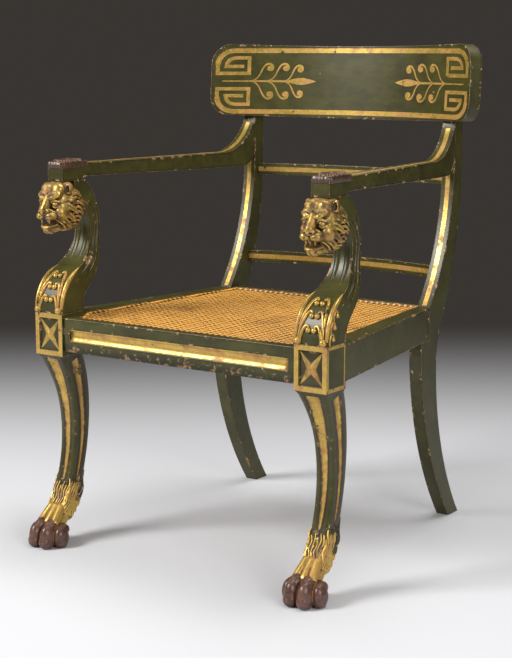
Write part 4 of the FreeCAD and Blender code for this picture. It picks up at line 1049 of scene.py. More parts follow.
def weave_tree(material):
    """Nodes that turn straight lines into woven strands."""
    tree = bpy.data.node_groups.new("cane_weave", "GeometryNodeTree")
    face = tree.interface
    face.new_socket("Geometry", in_out="INPUT", socket_type="NodeSocketGeometry")
    for name in ("Pitch", "Width", "Thickness", "Swing"):
        face.new_socket(name, in_out="INPUT", socket_type="NodeSocketFloat")
    face.new_socket("Geometry", in_out="OUTPUT", socket_type="NodeSocketGeometry")
    nodes = Nodes(tree)
    given = nodes.add("NodeGroupInput").outputs
    pitch, thickness = Amount(nodes, given["Pitch"]), Amount(nodes, given["Thickness"])

    def stored(name):
        node = nodes.add("GeometryNodeInputNamedAttribute", {"Name": name}, data_type="FLOAT")
        return Amount(nodes, node.outputs["Attribute"])

    curve = nodes.add("GeometryNodeMeshToCurve", {"Mesh": given["Geometry"]})
    resampled = nodes.add("GeometryNodeResampleCurve", {"Curve": curve.outputs[0]}, mode="LENGTH")
    nodes.give(resampled.inputs["Length"], pitch*0.5)
    place = nodes.add("GeometryNodeInputPosition")
    parts = nodes.add("ShaderNodeSeparateXYZ", {0: place.outputs[0]}).outputs
    along = Amount(nodes, parts[0])*stored("way_x") + Amount(nodes, parts[1])*stored("way_y")
    wave = (along/pitch*math.pi + stored("phase")).alone("SINE")
    offset = nodes.add("ShaderNodeCombineXYZ", {2: wave*given["Swing"] + stored("level")})
    moved = nodes.add("GeometryNodeSetPosition", {"Geometry": resampled.outputs[0],
                                                  "Offset": offset.outputs[0]})
    upright = nodes.add("GeometryNodeSetCurveNormal", {"Curve": moved.outputs[0]}, mode="Z_UP")
    half = thickness*0.5
    profile = nodes.add("GeometryNodeCurvePrimitiveQuadrilateral", mode="KITE")
    for name, size in (("Width", given["Width"]), ("Bottom Height", half), ("Top Height", half)):
        nodes.give(profile.inputs[name], size)
    swept = nodes.add("GeometryNodeCurveToMesh", {"Curve": upright.outputs[0], "Fill Caps": True,
                                                  "Profile Curve": profile.outputs[0]})
    real = nodes.add("GeometryNodeRealizeInstances", {0: swept.outputs[0]})
    painted = nodes.add("GeometryNodeSetMaterial", {"Geometry": real.outputs[0], "Material": material})
    nodes.add("NodeGroupOutput", {0: painted.outputs[0]})
    return tree


class ARMCHAIR_OT_cane(bpy.types.Operator):
    """Weave the cane seat six ways and lay its binding"""

    bl_idname = "armchair.cane"
    bl_label = "Cane seat"

    def execute(self, context):
        sizes = context.scene.armchair_sizes
        plan = cane_plan()
        middle = np.array([0.0, CANE_MIDDLE])
        level = (CANE_LOW.z + CANE_HIGH.z)/2
        pitch = sizes.cane_pitch
        pair = 1.35*sizes.strand_width
        past_the_edge = 0.5
        chance = np.random.default_rng(11)
        strands = []
        for degrees, spacing, offsets, layer in (
                (90, pitch, (-pair/2, pair/2), -0.5), (0, pitch, (-pair/2, pair/2), 0.0),
                (45, pitch/math.sqrt(2), (0,), 0.55), (-45, pitch/math.sqrt(2), (0,), 0.75)):
            angle = math.radians(degrees)
            way = np.array([math.cos(angle), math.sin(angle)])
            side = np.array([-way[1], way[0]])
            count = int(past_the_edge/spacing)
            shift = 0.5 if len(offsets) == 1 else 0.0
            for index in range(-count, count + 1):
                for number, offset in enumerate(offsets):
                    ends = clipped(middle + side*((index + shift)*spacing + offset), way, plan)
                    if ends is None:
                        continue
                    phase = math.pi*((index + number) % 2)
                    strands.append((ends, {"way_x": way[0], "way_y": way[1], "phase": phase,
                                           "level": layer*MM*0.2, "tone": chance.random()}))
        mesh = bpy.data.meshes.new("cane_lines")
        points = [(*end, level) for ends, marks in strands for end in ends]
        mesh.from_pydata(points, [(2*index, 2*index + 1) for index in range(len(strands))], [])
        for name in ("way_x", "way_y", "phase", "level", "tone"):
            mark(mesh, name, [marks[name] for ends, marks in strands for end in ends])
        tree = weave_tree(finish_named("split_cane"))
        values = {"Pitch": pitch, "Width": sizes.strand_width, "Thickness": sizes.strand_thickness,
                  "Swing": 0.12*MM}

        def weave(helper):
            modifier = helper.modifiers.new("weave", "NODES")
            modifier.node_group = tree
            for item in tree.interface.items_tree:
                if item.in_out == "INPUT" and item.name in values:
                    modifier[item.identifier] = values[item.name]

        woven = evaluated_mesh(mesh, weave)
        woven.name = "woven_cane"
        piece_from("woven_cane", woven, "split_cane", ["cane_seat"])
        self.binding(plan)
        return {"FINISHED"}

    def binding(self, plan):
        """A flat strand round the edge of the cane."""
        low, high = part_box("cane_binding")
        points, faces = [], []
        profile = [(0.2, 0.0), (1.0, 0.75), (3.5, 1.0), (6.0, 0.75), (6.8, 0.0)]
        count = len(plan)
        for index in range(count):
            before, corner, after = plan[index - 1], plan[index], plan[(index + 1) % count]
            into = (corner - before)/np.linalg.norm(corner - before)
            out = (after - corner)/np.linalg.norm(after - corner)
            inward = np.array([-(into + out)[1], (into + out)[0]])
            inward /= np.linalg.norm(inward)
            spread = max(0.4, float(inward @ np.array([-into[1], into[0]])))
            for reach, share in profile:
                spot = corner + inward*reach*MM/spread
                points.append((spot[0], spot[1], low.z + (high.z - low.z)*share))
        rows = len(profile)
        for index in range(count):
            here, there = index*rows, ((index + 1) % count)*rows
            for row in range(rows):
                turn = (row + 1) % rows
                faces.append((here + row, there + row, there + turn, here + turn))
        mesh = face_outwards(mesh_from("cane_binding_strand", points, faces, smooth=False))
        mark(mesh, "tone", np.full(len(mesh.vertices), 0.6))
        piece_from("cane_binding_strand", mesh, "split_cane", ["cane_binding"])


class ARMCHAIR_OT_joinery(bpy.types.Operator):
    """Finish the braces, dowels and screws"""

    bl_idname = "armchair.joinery"
    bl_label = "Braces, dowels and screws"

    def execute(self, context):
        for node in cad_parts:
            if node.startswith("corner_brace") or node.endswith("dowels"):
                paint_node(node, "aged_beech")
            elif node.endswith("screws"):
                paint_node(node, "dark_steel")
        return {"FINISHED"}


def both_hands(stem, mesh, finish, nodes=()):
    """A right-hand piece and its mirrored left-hand twin; nodes are named without their side."""
    piece_from(stem + "_right", mesh, finish, [node + "_right" for node in nodes])
    twin = mirrored_mesh(mesh, stem + "_left")
    piece_from(stem + "_left", twin, finish, [node + "_left" for node in nodes])


def faces_from(form, tree, start, way):
    """The smooth run of faces around the spot that a ray meets."""
    index = tree.ray_cast(Vector(start), Vector(way))[2]
    if index is None:
        raise RuntimeError(f"no face was met from {tuple(start)}")
    found, waiting = {index}, [form.faces[index]]
    while waiting:
        face = waiting.pop()
        for edge in face.edges:
            if len(edge.link_faces) != 2 or edge.calc_face_angle() > math.radians(20):
                continue
            for other in edge.link_faces:
                if other.index not in found:
                    found.add(other.index)
                    waiting.append(other)
    return found


class ARMCHAIR_OT_front_legs(bpy.types.Operator):
    """Finish the front legs: gilt blocks, stars and flutes, furred ankles and bronzed paws"""

    bl_idname = "armchair.front_legs"
    bl_label = "Front legs"

    # How steeply the hem of the fur falls towards the back
    fall = 0.55

    def execute(self, context):
        sizes = context.scene.armchair_sizes
        self.shafts()
        self.paws(sizes.carving_grain/MM)
        self.borders(sizes)
        return {"FINISHED"}

    def shafts(self):
        """Blocks and shafts, cut off inside the furred ankles."""
        ankle, corner_round = 104*MM, 5*MM
        # Relief marks below 0 for painted shade: along the edges of the gilt flutes, one ring further in,
        # and in the panel sunk round the star
        shade_at_flute_edge, shade_beside_flute_edge, shade_in_star_panel = -1.0, -0.4, -0.35
        form = solid_copy("front_leg_right")
        everything = form.verts[:] + form.edges[:] + form.faces[:]
        bmesh.ops.bisect_plane(form, geom=everything, plane_co=(0, 0, ankle), plane_no=(0, 0, 1),
                               clear_inner=True)
        bmesh.ops.holes_fill(form, edges=[edge for edge in form.edges if edge.is_boundary])
        corners = [edge for edge in form.edges if self.is_shaft_corner(edge)]
        bmesh.ops.bevel(form, geom=corners, offset=corner_round, segments=4, profile=0.5, affect="EDGES")
        form.faces.ensure_lookup_table()
        form.faces.index_update()
        tree = BVHTree.FromBMesh(form)
        gilt, sunk = set(), {}

        # Rays find the hollows in the front and sides of the shaft, which are gilt
        for level in (160*MM, 240*MM, 300*MM):
            for start, way in (((BLOCK_MIDDLE, -1, level), (0, 1, 0)),
                               ((1, self.depth_at(tree, level), level), (-1, 0, 0)),
                               ((0, self.depth_at(tree, level), level), (1, 0, 0))):
                gilt |= faces_from(form, tree, start, way)
        # Painted shade along the edges of the flutes and one ring of points further into them
        for edge in form.edges:
            sides = [face.index in gilt for face in edge.link_faces]
            if len(sides) == 2 and sides[0] != sides[1]:
                sunk.update((vertex.index, shade_at_flute_edge) for vertex in edge.verts)
        beside = [vertex.index for index in gilt for vertex in form.faces[index].verts
                  if any(corner.index in sunk for corner in form.faces[index].verts)]
        for index in beside:
            sunk.setdefault(index, shade_beside_flute_edge)
        for face in form.faces:
            middle = face.calc_center_median()
            in_block = BLOCK_BOTTOM < middle.z < BLOCK_TOP and middle.y < BLOCK_FRONT + 12*MM
            on_front = in_block and abs(middle.y - BLOCK_FRONT) < 0.05*MM
            on_star = in_block and -0.999 < face.normal.y < -0.05 and abs(face.normal.x) < 0.95
            face.material_index = 1 if face.index in gilt or on_front or on_star else 0
            # Painted shade in the panel sunk round the star
            if in_block and face.normal.y < -0.999 and not on_front:
                sunk.update((vertex.index, shade_in_star_panel) for vertex in face.verts)
        mesh = smooth_mesh(form, "front_leg_shaft_right")
        mark(mesh, "relief", [sunk.get(index, 0) for index in range(len(mesh.vertices))])
        for side, shape in (("right", mesh), ("left", mirrored_mesh(mesh, "front_leg_shaft_left"))):
            indices = np.empty(len(shape.polygons), np.int32)
            shape.polygons.foreach_get("material_index", indices)
            piece_from("front_leg_shaft_" + side, shape, "olive_paint",
                       ["front_leg_" + side])
            shape.materials.append(finish_named("gold_leaf"))
            shape.polygons.foreach_set("material_index", indices)

    def is_shaft_corner(self, edge):
        """Whether an edge is one of the four long corners of the shaft."""
        start, end = (vertex.co for vertex in edge.verts)
        upright = abs(end.z - start.z) > 0.6*(end - start).length
        low, high = min(start.z, end.z), max(start.z, end.z)
        shaft_low, flat_half = 94*MM, 13*MM
        on_shaft = high < BLOCK_BOTTOM - 1*MM and low > shaft_low
        outside = min(abs(start.x - BLOCK_MIDDLE), abs(end.x - BLOCK_MIDDLE)) > flat_half
        sharp = len(edge.link_faces) == 2 and edge.calc_face_angle() > math.radians(55)
        return upright and on_shaft and outside and sharp

    def depth_at(self, tree, level):
        """Middle of the shaft from front to back."""
        front = tree.ray_cast(Vector((BLOCK_MIDDLE, -1, level)), Vector((0, 1, 0)))[0]
        back = tree.ray_cast(Vector((BLOCK_MIDDLE, 1, level)), Vector((0, -1, 0)))[0]
        return (front.y + back.y)/2

    def paws(self, cell):
        """Fur round the ankle, and four toes flat on the floor; y counts from the block face."""
        tree = ray_tree("front_leg_right")
        levels = np.linspace(50, 136, 13)
        beside_flute = 13*MM
        fronts, backs = [], []
        for level in levels:
            for found, start, way in ((fronts, -1, 1), (backs, 1, -1)):
                eye = Vector((BLOCK_MIDDLE + beside_flute, start, level*MM))
                place = tree.ray_cast(eye, Vector((0, way, 0)))[0]
                found.append((place.y - BLOCK_FRONT)/MM)
        backs = backs - np.interp(levels, [50, 70, 106], [15, 10, 0])
        middles, depths = (fronts + backs)/2, (backs - fronts)/2

        def skin_gap(x, y, z):
            """Distance outside the smooth leg under the fur."""
            across = np.abs(x) - np.interp(z, [46, 136], [18.2, 16.2])
            along = np.abs(y - np.interp(z, levels, middles)) - np.interp(z, levels, depths)
            return oblong_gap(across, along, 7)

        clay = Clay((-40, -54, -2), (40, 90, 134), cell)
        part, (x, y, z) = clay.window((-40, -54, 30), (40, 90, 134))
        hem_height, fur_top = 59, 109
        hem = hem_height - self.fall*np.maximum(y - 6, 0)
        sleeve = skin_gap(x, y, z) + np.interp(z, [56, 84, 96, 108], [1.2, 1.2, 0.8, 0.3])
        clay.join(part, np.maximum(sleeve, np.maximum(hem - z, z - fur_top)).astype(np.float32), 0.5)
        self.fur(clay, levels, middles, depths)
        eggs = self.toes(clay)
        clay.clear((-50, -60, -5), (50, 100, 0.01))
        mesh = clay.skin("paw_right", (BLOCK_MIDDLE, BLOCK_FRONT, 0))
        points = points_of(mesh)
        points[:, 2] = np.maximum(points[:, 2], 0)
        move_points(mesh, points)
        here = (points - (BLOCK_MIDDLE, BLOCK_FRONT, 0))/MM
        inside = np.min([np.linalg.norm((here - centre)/radii, axis=1) for centre, radii in eggs], axis=0)

        # Bronzed toes
        toe_height = 20
        mark(mesh, "bronze", 1 - soft_step(np.where(here[:, 2] < toe_height, 0, inside), 1.06, 1.2))

        # Gilt fur, with green wood above it and behind, and painted shade in the hollows between the locks
        height = skin_gap(*here.T)
        ridge = soft_step(height, 0.2, 1.0)
        from_back = np.interp(here[:, 2], levels, backs) - here[:, 1]
        behind = (1 - soft_step(from_back + 5*ridge, 4, 15))*soft_step(here[:, 2] - 8*ridge, 48, 72)
        green = np.maximum(soft_step(here[:, 2] - 12*ridge, 90, 106), behind)
        mark(mesh, "gilt", 1 - green)
        # Painted shade low between the locks, on the sleeve under them
        between = (1 - soft_step(height, -0.5, 0.8))*soft_step(here[:, 2], 50, 60)
        darken(mesh, 0.7*between)
        both_hands("paw", mesh, "olive_paint", ["front_leg"])

    def toes(self, clay):
        """Heel pad, ankle with its tendons, two toes in front and one set back on each side."""
        clay.roll((0, 30, 62), (0, 2, 32), 16.5, 19, 3)
        clay.roll((0, 34, 66), (0, 34, 46), 15, 14, 2)
        clay.roll((0, 16, 17), (0, -8, 18), 16, 22, 4)
        for place in (-12, 0, 12):
            clay.roll((place*0.85, 9, 62), (place*1.2, -13, 41), 7.5, 7.5, 1.2)
        eggs = []
        for side in (-1, 1):
            eggs += [((side*27.5, -11, 16.5), (11.6, 15.5, 20)), ((side*24.5, -4, 28.5), (10.5, 14, 10)),
                     ((side*12, -28, 18.5), (12.3, 16, 23)), ((side*10.5, -18, 35.5), (10.6, 13, 11.5)),
                     ((side*12, -36, 11.5), (11, 10, 11.5))]
        for egg in eggs:
            clay.ball(*egg, 1.2)
        gaps = [[(0, -20, 46), (0, -36, 40), (0, -47, 18), (0, -46, 0)]]
        for side in (-1, 1):
            gaps.append([(side*17, -3, 46), (side*20.5, -21, 37), (side*24, -27, 17), (side*24, -26, 0)])
        for gap in gaps:
            clay.tress(gap, [1.3, 1.3], 1.0, cut=True)
        return eggs

    def fur(self, clay, levels, middles, depths):
        """Three rows of flame-like locks that run up the leg from the hem."""
        locks = 25
        rows = ((57, 86), (68, 101), (82, 117))
        for row, (low, high) in enumerate(rows):
            swing = 0.02 if row % 2 else -0.02
            for lock in range(locks):
                around = (lock + 0.5*row)/locks
                stretch = 5*math.sin(2.4*lock + 1.3*row)
                line = []
                for share in (0, 0.25, 0.5, 0.75, 1):
                    level = low + (high + stretch - low)*share
                    half = np.interp(level, [46, 84, 100, 116], [17.5, 17.0, 17.0, 15.4])
                    middle, deep = np.interp(level, levels, middles), np.interp(level, levels, depths)
                    deep -= np.interp(level, [80, 96, 102, 116], [0.7, -0.4, -0.3, 1.2])
                    across, along = self.round_the_leg(around + swing*math.sin(2*math.pi*share), half, deep)
                    drop = self.fall*max(middle + along - 6, 0)*(1 - share)
                    line.append((across, middle + along, level - drop))
                clay.tress(line, [2.2, 1.9, 1.7, 1.4, 0.8], 0.2)

    def round_the_leg(self, turn, half, deep):
        """A spot on an oblong of these half widths, a share of the way round from the middle of the back."""
        ends = np.cumsum([0, half, 2*deep, 2*half, 2*deep, half])/(4*(half + deep))
        return (np.interp(turn % 1, ends, [0, half, half, -half, -half, 0]),
                np.interp(turn % 1, ends, [deep, deep, -deep, -deep, deep, deep]))

    def borders(self, sizes):
        """Gilt lines round the outer faces of the blocks."""
        gilder = Gilder(sizes.gilt_lift)
        for side, node in ((-1, "front_leg_left"), (1, "front_leg_right")):
            surface = Surface(node, (0, 1, 0), (0, 0, 1), (-side, 0, 0))
            front, back = BLOCK_FRONT + 3*MM, BLOCK_FRONT + 51*MM
            low, high = BLOCK_BOTTOM + 3.5*MM, BLOCK_TOP - 3*MM
            gilder.stroke(surface, [(front, low), (back, low)], 6*MM)
            gilder.stroke(surface, [(front, high), (back, high)], 5*MM)
            gilder.stroke(surface, [(front, low), (front, high)], 5*MM)
            gilder.stroke(surface, [(back, low), (back, high)], 3*MM)
        gilder.piece("block_gilding")


class ARMCHAIR_OT_arm_supports(bpy.types.Operator):
    """Paint the arm supports, carve their chests with gilt scrolls and leaves, and reed their necks"""

    bl_idname = "armchair.arm_supports"
    bl_label = "Arm supports"

    def execute(self, context):
        for side in ("left", "right"):
            paint_node("arm_support_" + side, "olive_paint")
        front = seen_from_front("arm_support_right")
        outer = Surface("arm_support_right", (0, 1, 0), (0, 0, 1), (-1, 0, 0))
        tubes = Tubes()
        for level in (426*MM, 446*MM, 463*MM):
            for side in (-1, 1):
                self.scroll(tubes, front, side, level)
        for level in (414*MM, 431*MM, 448*MM):
            self.hook(tubes, front, outer, level)
        for side in (-1, 1):
            self.leaf(tubes, front, side)
        both_hands("chest_carving", tubes.mesh("chest_carving_right"), "gold_leaf")
        reeds = Tubes()
        for across in (-9, 9):
            drawing = [(BLOCK_MIDDLE + across*MM, level*MM) for level in (476, 490, 510, 530, 550, 570, 590)]
            reeds.tube(self.lay(front, drawing, -6.2*MM), [4.0*MM, 7.6*MM, 8.8*MM, 8.8*MM, 8.8*MM])
        both_hands("neck_reeds", reeds.mesh("neck_reeds_right"), "olive_paint")
        return {"FINISHED"}

    def lay(self, surface, drawing, rise):
        """Points of a drawn line on the surface, lifted by rise."""
        line = []
        for spot in curve_through(drawing, 6):
            place, normal = surface.touch(spot)
            line.append(np.array(place + normal*rise))
        return line

    def scroll(self, tubes, surface, side, level):
        """A stem that rises by the edge, turns in and ends in a bead."""
        drawing = [(22, -30), (20.5, -18), (17.5, -6), (14, 3), (9.5, 7.5), (5.2, 5.5)]
        placed = [(BLOCK_MIDDLE + side*across*MM, max(level + rise*MM, BLOCK_TOP + 1*MM))
                  for across, rise in drawing]
        tubes.tube(self.lay(surface, placed, 0.8*MM), [1.6*MM, 2.3*MM, 2.7*MM, 2.7*MM, 2.3*MM])
        place, normal = surface.touch((BLOCK_MIDDLE + side*5*MM, level + 1*MM))
        tubes.bead(place + normal*1.4*MM, 4.6*MM)

    def hook(self, tubes, front, outer, level):
        """A small hook on the outer face with a bead at its end."""
        edge = front.touch((BLOCK_MIDDLE + 24*MM, level))[0].y
        drawing = [(5, -9), (6, 1), (9.5, 7.5), (14, 8), (17, 4)]
        placed = [(edge + back*MM, max(level + rise*MM, BLOCK_TOP + 1*MM)) for back, rise in drawing]
        tubes.tube(self.lay(outer, placed, 1.0*MM), [1.5*MM, 2.2*MM, 2.3*MM, 2.0*MM])
        place, normal = outer.touch((edge + 14*MM, level + 1*MM))
        tubes.bead(place + normal*1.6*MM, 3.9*MM)

    def leaf(self, tubes, surface, side):
        """A leaf up the corner from a rolled bead at its foot."""
        levels = [BLOCK_TOP + 8*MM, 425*MM, 442*MM, 458*MM, 470*MM, 479*MM]
        line = []
        for level in levels:
            place = None
            reach = 30*MM
            while place is None:
                reach -= 0.5*MM
                eye = Vector((BLOCK_MIDDLE + side*reach, -1, level))
                place = surface.tree.ray_cast(eye, Vector((0, 1, 0)))[0]
            line.append(np.array(place + Vector((-side*1.2*MM, 1.2*MM, 0))))
        tubes.tube(curve_through(line, 5), [2.5*MM, 3.4*MM, 4.0*MM, 4.2*MM, 3.2*MM, 0.8*MM])
        place, normal = surface.touch((BLOCK_MIDDLE + side*22.5*MM, BLOCK_TOP + 6.2*MM))
        tubes.bead(place + normal*0.5*MM, 6.2*MM)


class ARMCHAIR_OT_lion_masks(bpy.types.Operator):
    """Carve the gilt lion masks"""

    bl_idname = "armchair.lion_masks"
    bl_label = "Lion masks"

    def execute(self, context):
        clay = Clay((-40, -16, -92), (40, 84, 2), context.scene.armchair_sizes.mask_grain/MM)
        self.mane(clay)
        self.head(clay)
        self.features(clay)
        clay.clear((-50, -50, -0.6), (50, 100, 5))
        mesh = clay.skin("lion_mask_carving_right", (BLOCK_MIDDLE, BLOCK_FRONT, ARM_BOTTOM))

        # Painted dark reflections in the eyes and over the brows, and a little more painted shade in the
        # hollows all over
        here = (points_of(mesh) - (BLOCK_MIDDLE, BLOCK_FRONT, ARM_BOTTOM))/MM
        across, level = np.abs(here[:, 0]), here[:, 2]
        in_front = 1 - soft_step(here[:, 1], 14, 22)
        eye = np.exp(-((across - 14.6)/4.0)**2 - ((level + 36.4)/3.0)**2)
        dark_reflection_over_brow = np.exp(-((across - 13)/6.0)**2 - ((level + 19)/3.2)**2)
        darken(mesh, 0.2 + in_front*(0.15*eye + 0.45*dark_reflection_over_brow))
        mark(mesh, "aged", np.ones(len(mesh.vertices)))
        both_hands("lion_mask_carving", mesh, "gold_leaf", ["lion_mask"])
        return {"FINISHED"}

    def mane(self, clay):
        """Two rings of locks over a rounded ruff, each of two strands that meet at the tip."""
        clay.ball((0, 47, -45), (26, 30, 34), 1)
        rings, locks = ((15, 50, 3.0), (36, 77, 1.8)), 8
        for ring, (root, tip, lift) in enumerate(rings):
            for turn in range(locks):
                angle = math.radians(76 - 24*turn - 12*ring)
                for side in (-1, 1):
                    for strand in (-0.7, 0.7):
                        line = self.strand(side, angle, strand, root, tip, lift)
                        clay.tress(line, [2.0, 2.6, 2.5, 1.9, 1.0], 0.25)

    def strand(self, side, angle, strand, root, tip, lift):
        """A waved line over the ruff from the face to the tip of its lock."""
        line = []
        for share in (0, 0.3, 0.6, 0.85, 1):
            back = root + (tip - root)*share
            wide = math.sqrt(max(0.25, 1 - ((back - 46)/34)**2))
            spread = math.radians(9)*strand*(1 - share**2)
            turn = angle + spread + math.radians(8)*math.sin(5*share) - math.radians(9)*share
            out = lift*math.sin(math.pi*(0.15 + 0.7*share))
            line.append((side*(28*wide + out)*math.cos(turn), back, -45 + (36*wide + out)*math.sin(turn)))
        return line

    def head(self, clay):
        """Skull, brows, cheeks, cupped ears, bridge of the nose and jaw."""
        clay.ball((0, 37, -36), (27, 32, 37), 2)
        clay.ball((0, 36, -9), (22, 23, 11), 3)
        for side in (-1, 1):
            clay.ball((side*11, 19.5, -13), (12, 10.5, 11), 2.5)
            clay.ball((side*12, 12.5, -21), (11, 8.5, 8), 2.5)
            brow = [(side*5, 4.2, -28.2), (side*12, 3, -25.8), (side*21, 9.2, -21.4)]
            clay.tress(brow, [3.0, 3.7, 2.6], 1.5)
            clay.ball((side*18.5, 20, -50), (10, 14, 14), 4)
            clay.ball((side*24.5, 31, -12), (5.5, 8, 9.5), 1.5)
            clay.ball((side*25.8, 26, -12), (3, 4.2, 6), 1, cut=True)
        clay.roll((0, 9, -22), (0, -4, -45), 6.4, 8, 2.2)
        clay.tress([(0, 12, -4), (0, 8, -13), (0, 3.5, -23)], [1.0, 2.0, 1.0], 1.5, cut=True)
        clay.ball((0, 15, -77.5), (15.5, 17, 8.0), 2)

    def features(self, clay):
        """Eyes, muzzle, nose, open mouth, teeth, lower lip and beard."""
        for side in (-1, 1):
            clay.ball((side*14.8, 3.8, -36.2), (8.4, 7, 5.6), 1.5, cut=True)
            clay.ball((side*14.4, 8.8, -36.2), (5.6, 6.0, 4.6), 0.6)
            upper_lid = [(side*7.5, 4.5, -35.6), (side*14, 3.6, -30.2), (side*22.5, 9, -32.8)]
            clay.tress(upper_lid, [1.4, 2.0, 1.4], 1.6)
            lower_lid = [(side*8, 5.5, -39), (side*15, 6, -42.2), (side*22.5, 11, -39)]
            clay.tress(lower_lid, [0.6, 1.3, 0.6], 2.2)
            clay.ball((side*9.6, 2, -56), (10.6, 11, 7.6), 2)
            fold = [(side*7, -2, -45), (side*14.5, 4.5, -50), (side*21, 12.5, -59)]
            clay.tress(fold, [2.0, 2.4, 1.8], 0.8)
            under_fold = [(side*9, -2, -50.5), (side*15.5, 2.5, -55), (side*20, 11, -63)]
            clay.tress(under_fold, [0.8, 1.2, 0.8], 0.5, cut=True)
            whisker_line = [(side*4, -8, -57), (side*11, -6.5, -58.5), (side*18, 2, -61)]
            clay.tress(whisker_line, [0.6, 0.8, 0.5], 0.4, cut=True)
        clay.ball((0, -5.8, -48.5), (11, 6.4, 5.8), 1.5)
        clay.roll((0, -10.5, -53), (0, -9, -62), 1.4, 1.6, 1, cut=True)
        clay.ball((0, 1, -67.8), (13.5, 18, 7.0), 1, cut=True)
        for side in (-1, 1):
            clay.ball((side*5.4, -10.8, -50.8), (3.2, 3.2, 2.3), 0.6, cut=True)
            clay.ball((side*15, 7, -66.2), (6.0, 9, 5.4), 1, cut=True)
            clay.roll((side*8.5, -0.5, -63), (side*8, -1, -69), 2, 0.8, 0.5)
            lower_lip = [(0, -2.5, -76), (side*8, -0.5, -75.2), (side*15.5, 9, -71.5)]
            clay.tress(lower_lip, [2.6, 2.6, 2.0], 0.8)
            beard = [(side*3, 0, -78), (side*4, 3, -82), (side*4, 10, -86)]
            clay.tress(beard, [3.4, 3.2, 1.6], 2)


class ARMCHAIR_OT_arms(bpy.types.Operator):
    """Paint the arms, draw their gilt lines and carve the caps over the posts"""

    bl_idname = "armchair.arms"
    bl_label = "Arms and caps"

    def execute(self, context):
        sizes = context.scene.armchair_sizes
        gilder = Gilder(sizes.gilt_lift)
        for side, node in ((-1, "arm_left"), (1, "arm_right")):
            self.line(gilder, side, node, sizes.gilt_line)
        gilder.piece("arm_gilding")
        self.bars()
        self.caps(sizes.mask_grain/MM)
        return {"FINISHED"}

    def bars(self):
        """The arms, with the wood hollowed a little underneath behind the post."""
        form = solid_copy("arm_right")
        bmesh.ops.dissolve_limit(form, angle_limit=math.radians(0.4), verts=form.verts, edges=form.edges)
        hollow, start, deepest, end = 5.5*MM, 46, 58, 430
        for behind in (start, 52, deepest, *range(82, end, 24)):
            everything = form.verts[:] + form.edges[:] + form.faces[:]
            bmesh.ops.bisect_plane(form, geom=everything, plane_co=(0, ARM_FRONT + behind*MM, 0),
                                   plane_no=(0, 1, 0))
        form.normal_update()
        for vertex in form.verts:
            if min(face.normal.z for face in vertex.link_faces) < -0.7:
                behind = (vertex.co.y - ARM_FRONT)/MM
                vertex.co.z += hollow*soft_step(behind, start, deepest)*(1 - soft_step(behind, 60, end))
        mesh = smooth_mesh(form, "arm_bar_right")
        both_hands("arm_bar", mesh, "olive_paint", ["arm"])

    def line(self, gilder, side, node, width):
        """A line along the middle of the top and up the sweep to the crest."""
        slope = math.sqrt(0.5)
        surface = Surface(node, (1, 0, 0), (0, slope, slope), (0, slope, -slope))
        front, back = ARM_FRONT + 66*MM, STILE_HIGH.y - 42*MM
        start = slope*(front + ARM_TOP)
        end = slope*(back + CREST_BOTTOM) - 9*MM
        line = []
        across = BLOCK_MIDDLE
        for along in np.linspace(start, end, 40):
            for turn in range(3):
                depth = surface.touch((side*across, along))[0].y
                share = np.clip((depth - front)/(back - front), 0, 1)
                across = BLOCK_MIDDLE + (STILE_MIDDLE - BLOCK_MIDDLE)*share
            line.append((side*across, along))
        gilder.stroke(surface, line, width)

    def caps(self, cell):
        """A carved cap over the end of the arm: a fluted rim, petals and a boss."""
        half_x, half_y, corner = 20.5, 36.0, 12
        rim_low, rim_high, flutes = -6.5, 4.5, 22
        clay = Clay((-27, -42, -10), (27, 42, 15), cell)
        part, (x, y, z) = clay.window((-27, -42, -10), (27, 42, 15))
        plan = oblong_gap(np.abs(x) - half_x, np.abs(y) - half_y, corner)
        angle = np.arctan2(x/half_x, y/half_y)
        plan = plan + 0.9*np.abs(np.sin(flutes/2*angle)) + 0.35*np.abs(z + 0.5)
        clay.join(part, np.maximum(plan, np.maximum(rim_low - z, z - rim_high)).astype(np.float32), 0.5)
        petals = 14
        for petal in range(petals):
            angle = 2*math.pi*(petal + 0.5)/petals
            way = np.array([math.cos(angle)*half_x, math.sin(angle)*half_y, 0])
            clay.roll(way*0.36 + (0, 0, 6), way*0.76 + (0, 0, 4.2), 2.6, 3.6, 0.5)
            clay.roll(way*0.42 + (0, 0, 9.4), way*0.9 + (0, 0, 8.4), 0.7, 1.1, 0.5, cut=True)
        clay.ball((0, 0, 5), (6.5, 8, 5), 0.6)
        clay.ball((0, 0, 10.2), (2.6, 3.4, 2), 0.6, cut=True)
        middle = (CAP_LOW.x + CAP_HIGH.x)/2
        mesh = clay.skin("arm_cap_carving_right", (middle, ARM_FRONT + (half_y - 4)*MM, ARM_TOP))
        mark(mesh, "bronze", np.ones(len(mesh.vertices)))
        # A lower relief mark all over: the cap's brown turns darker, with more painted shade in its hollows
        darken(mesh, 0.72)
        both_hands("arm_cap_carving", mesh, "olive_paint", ["arm_cap"])


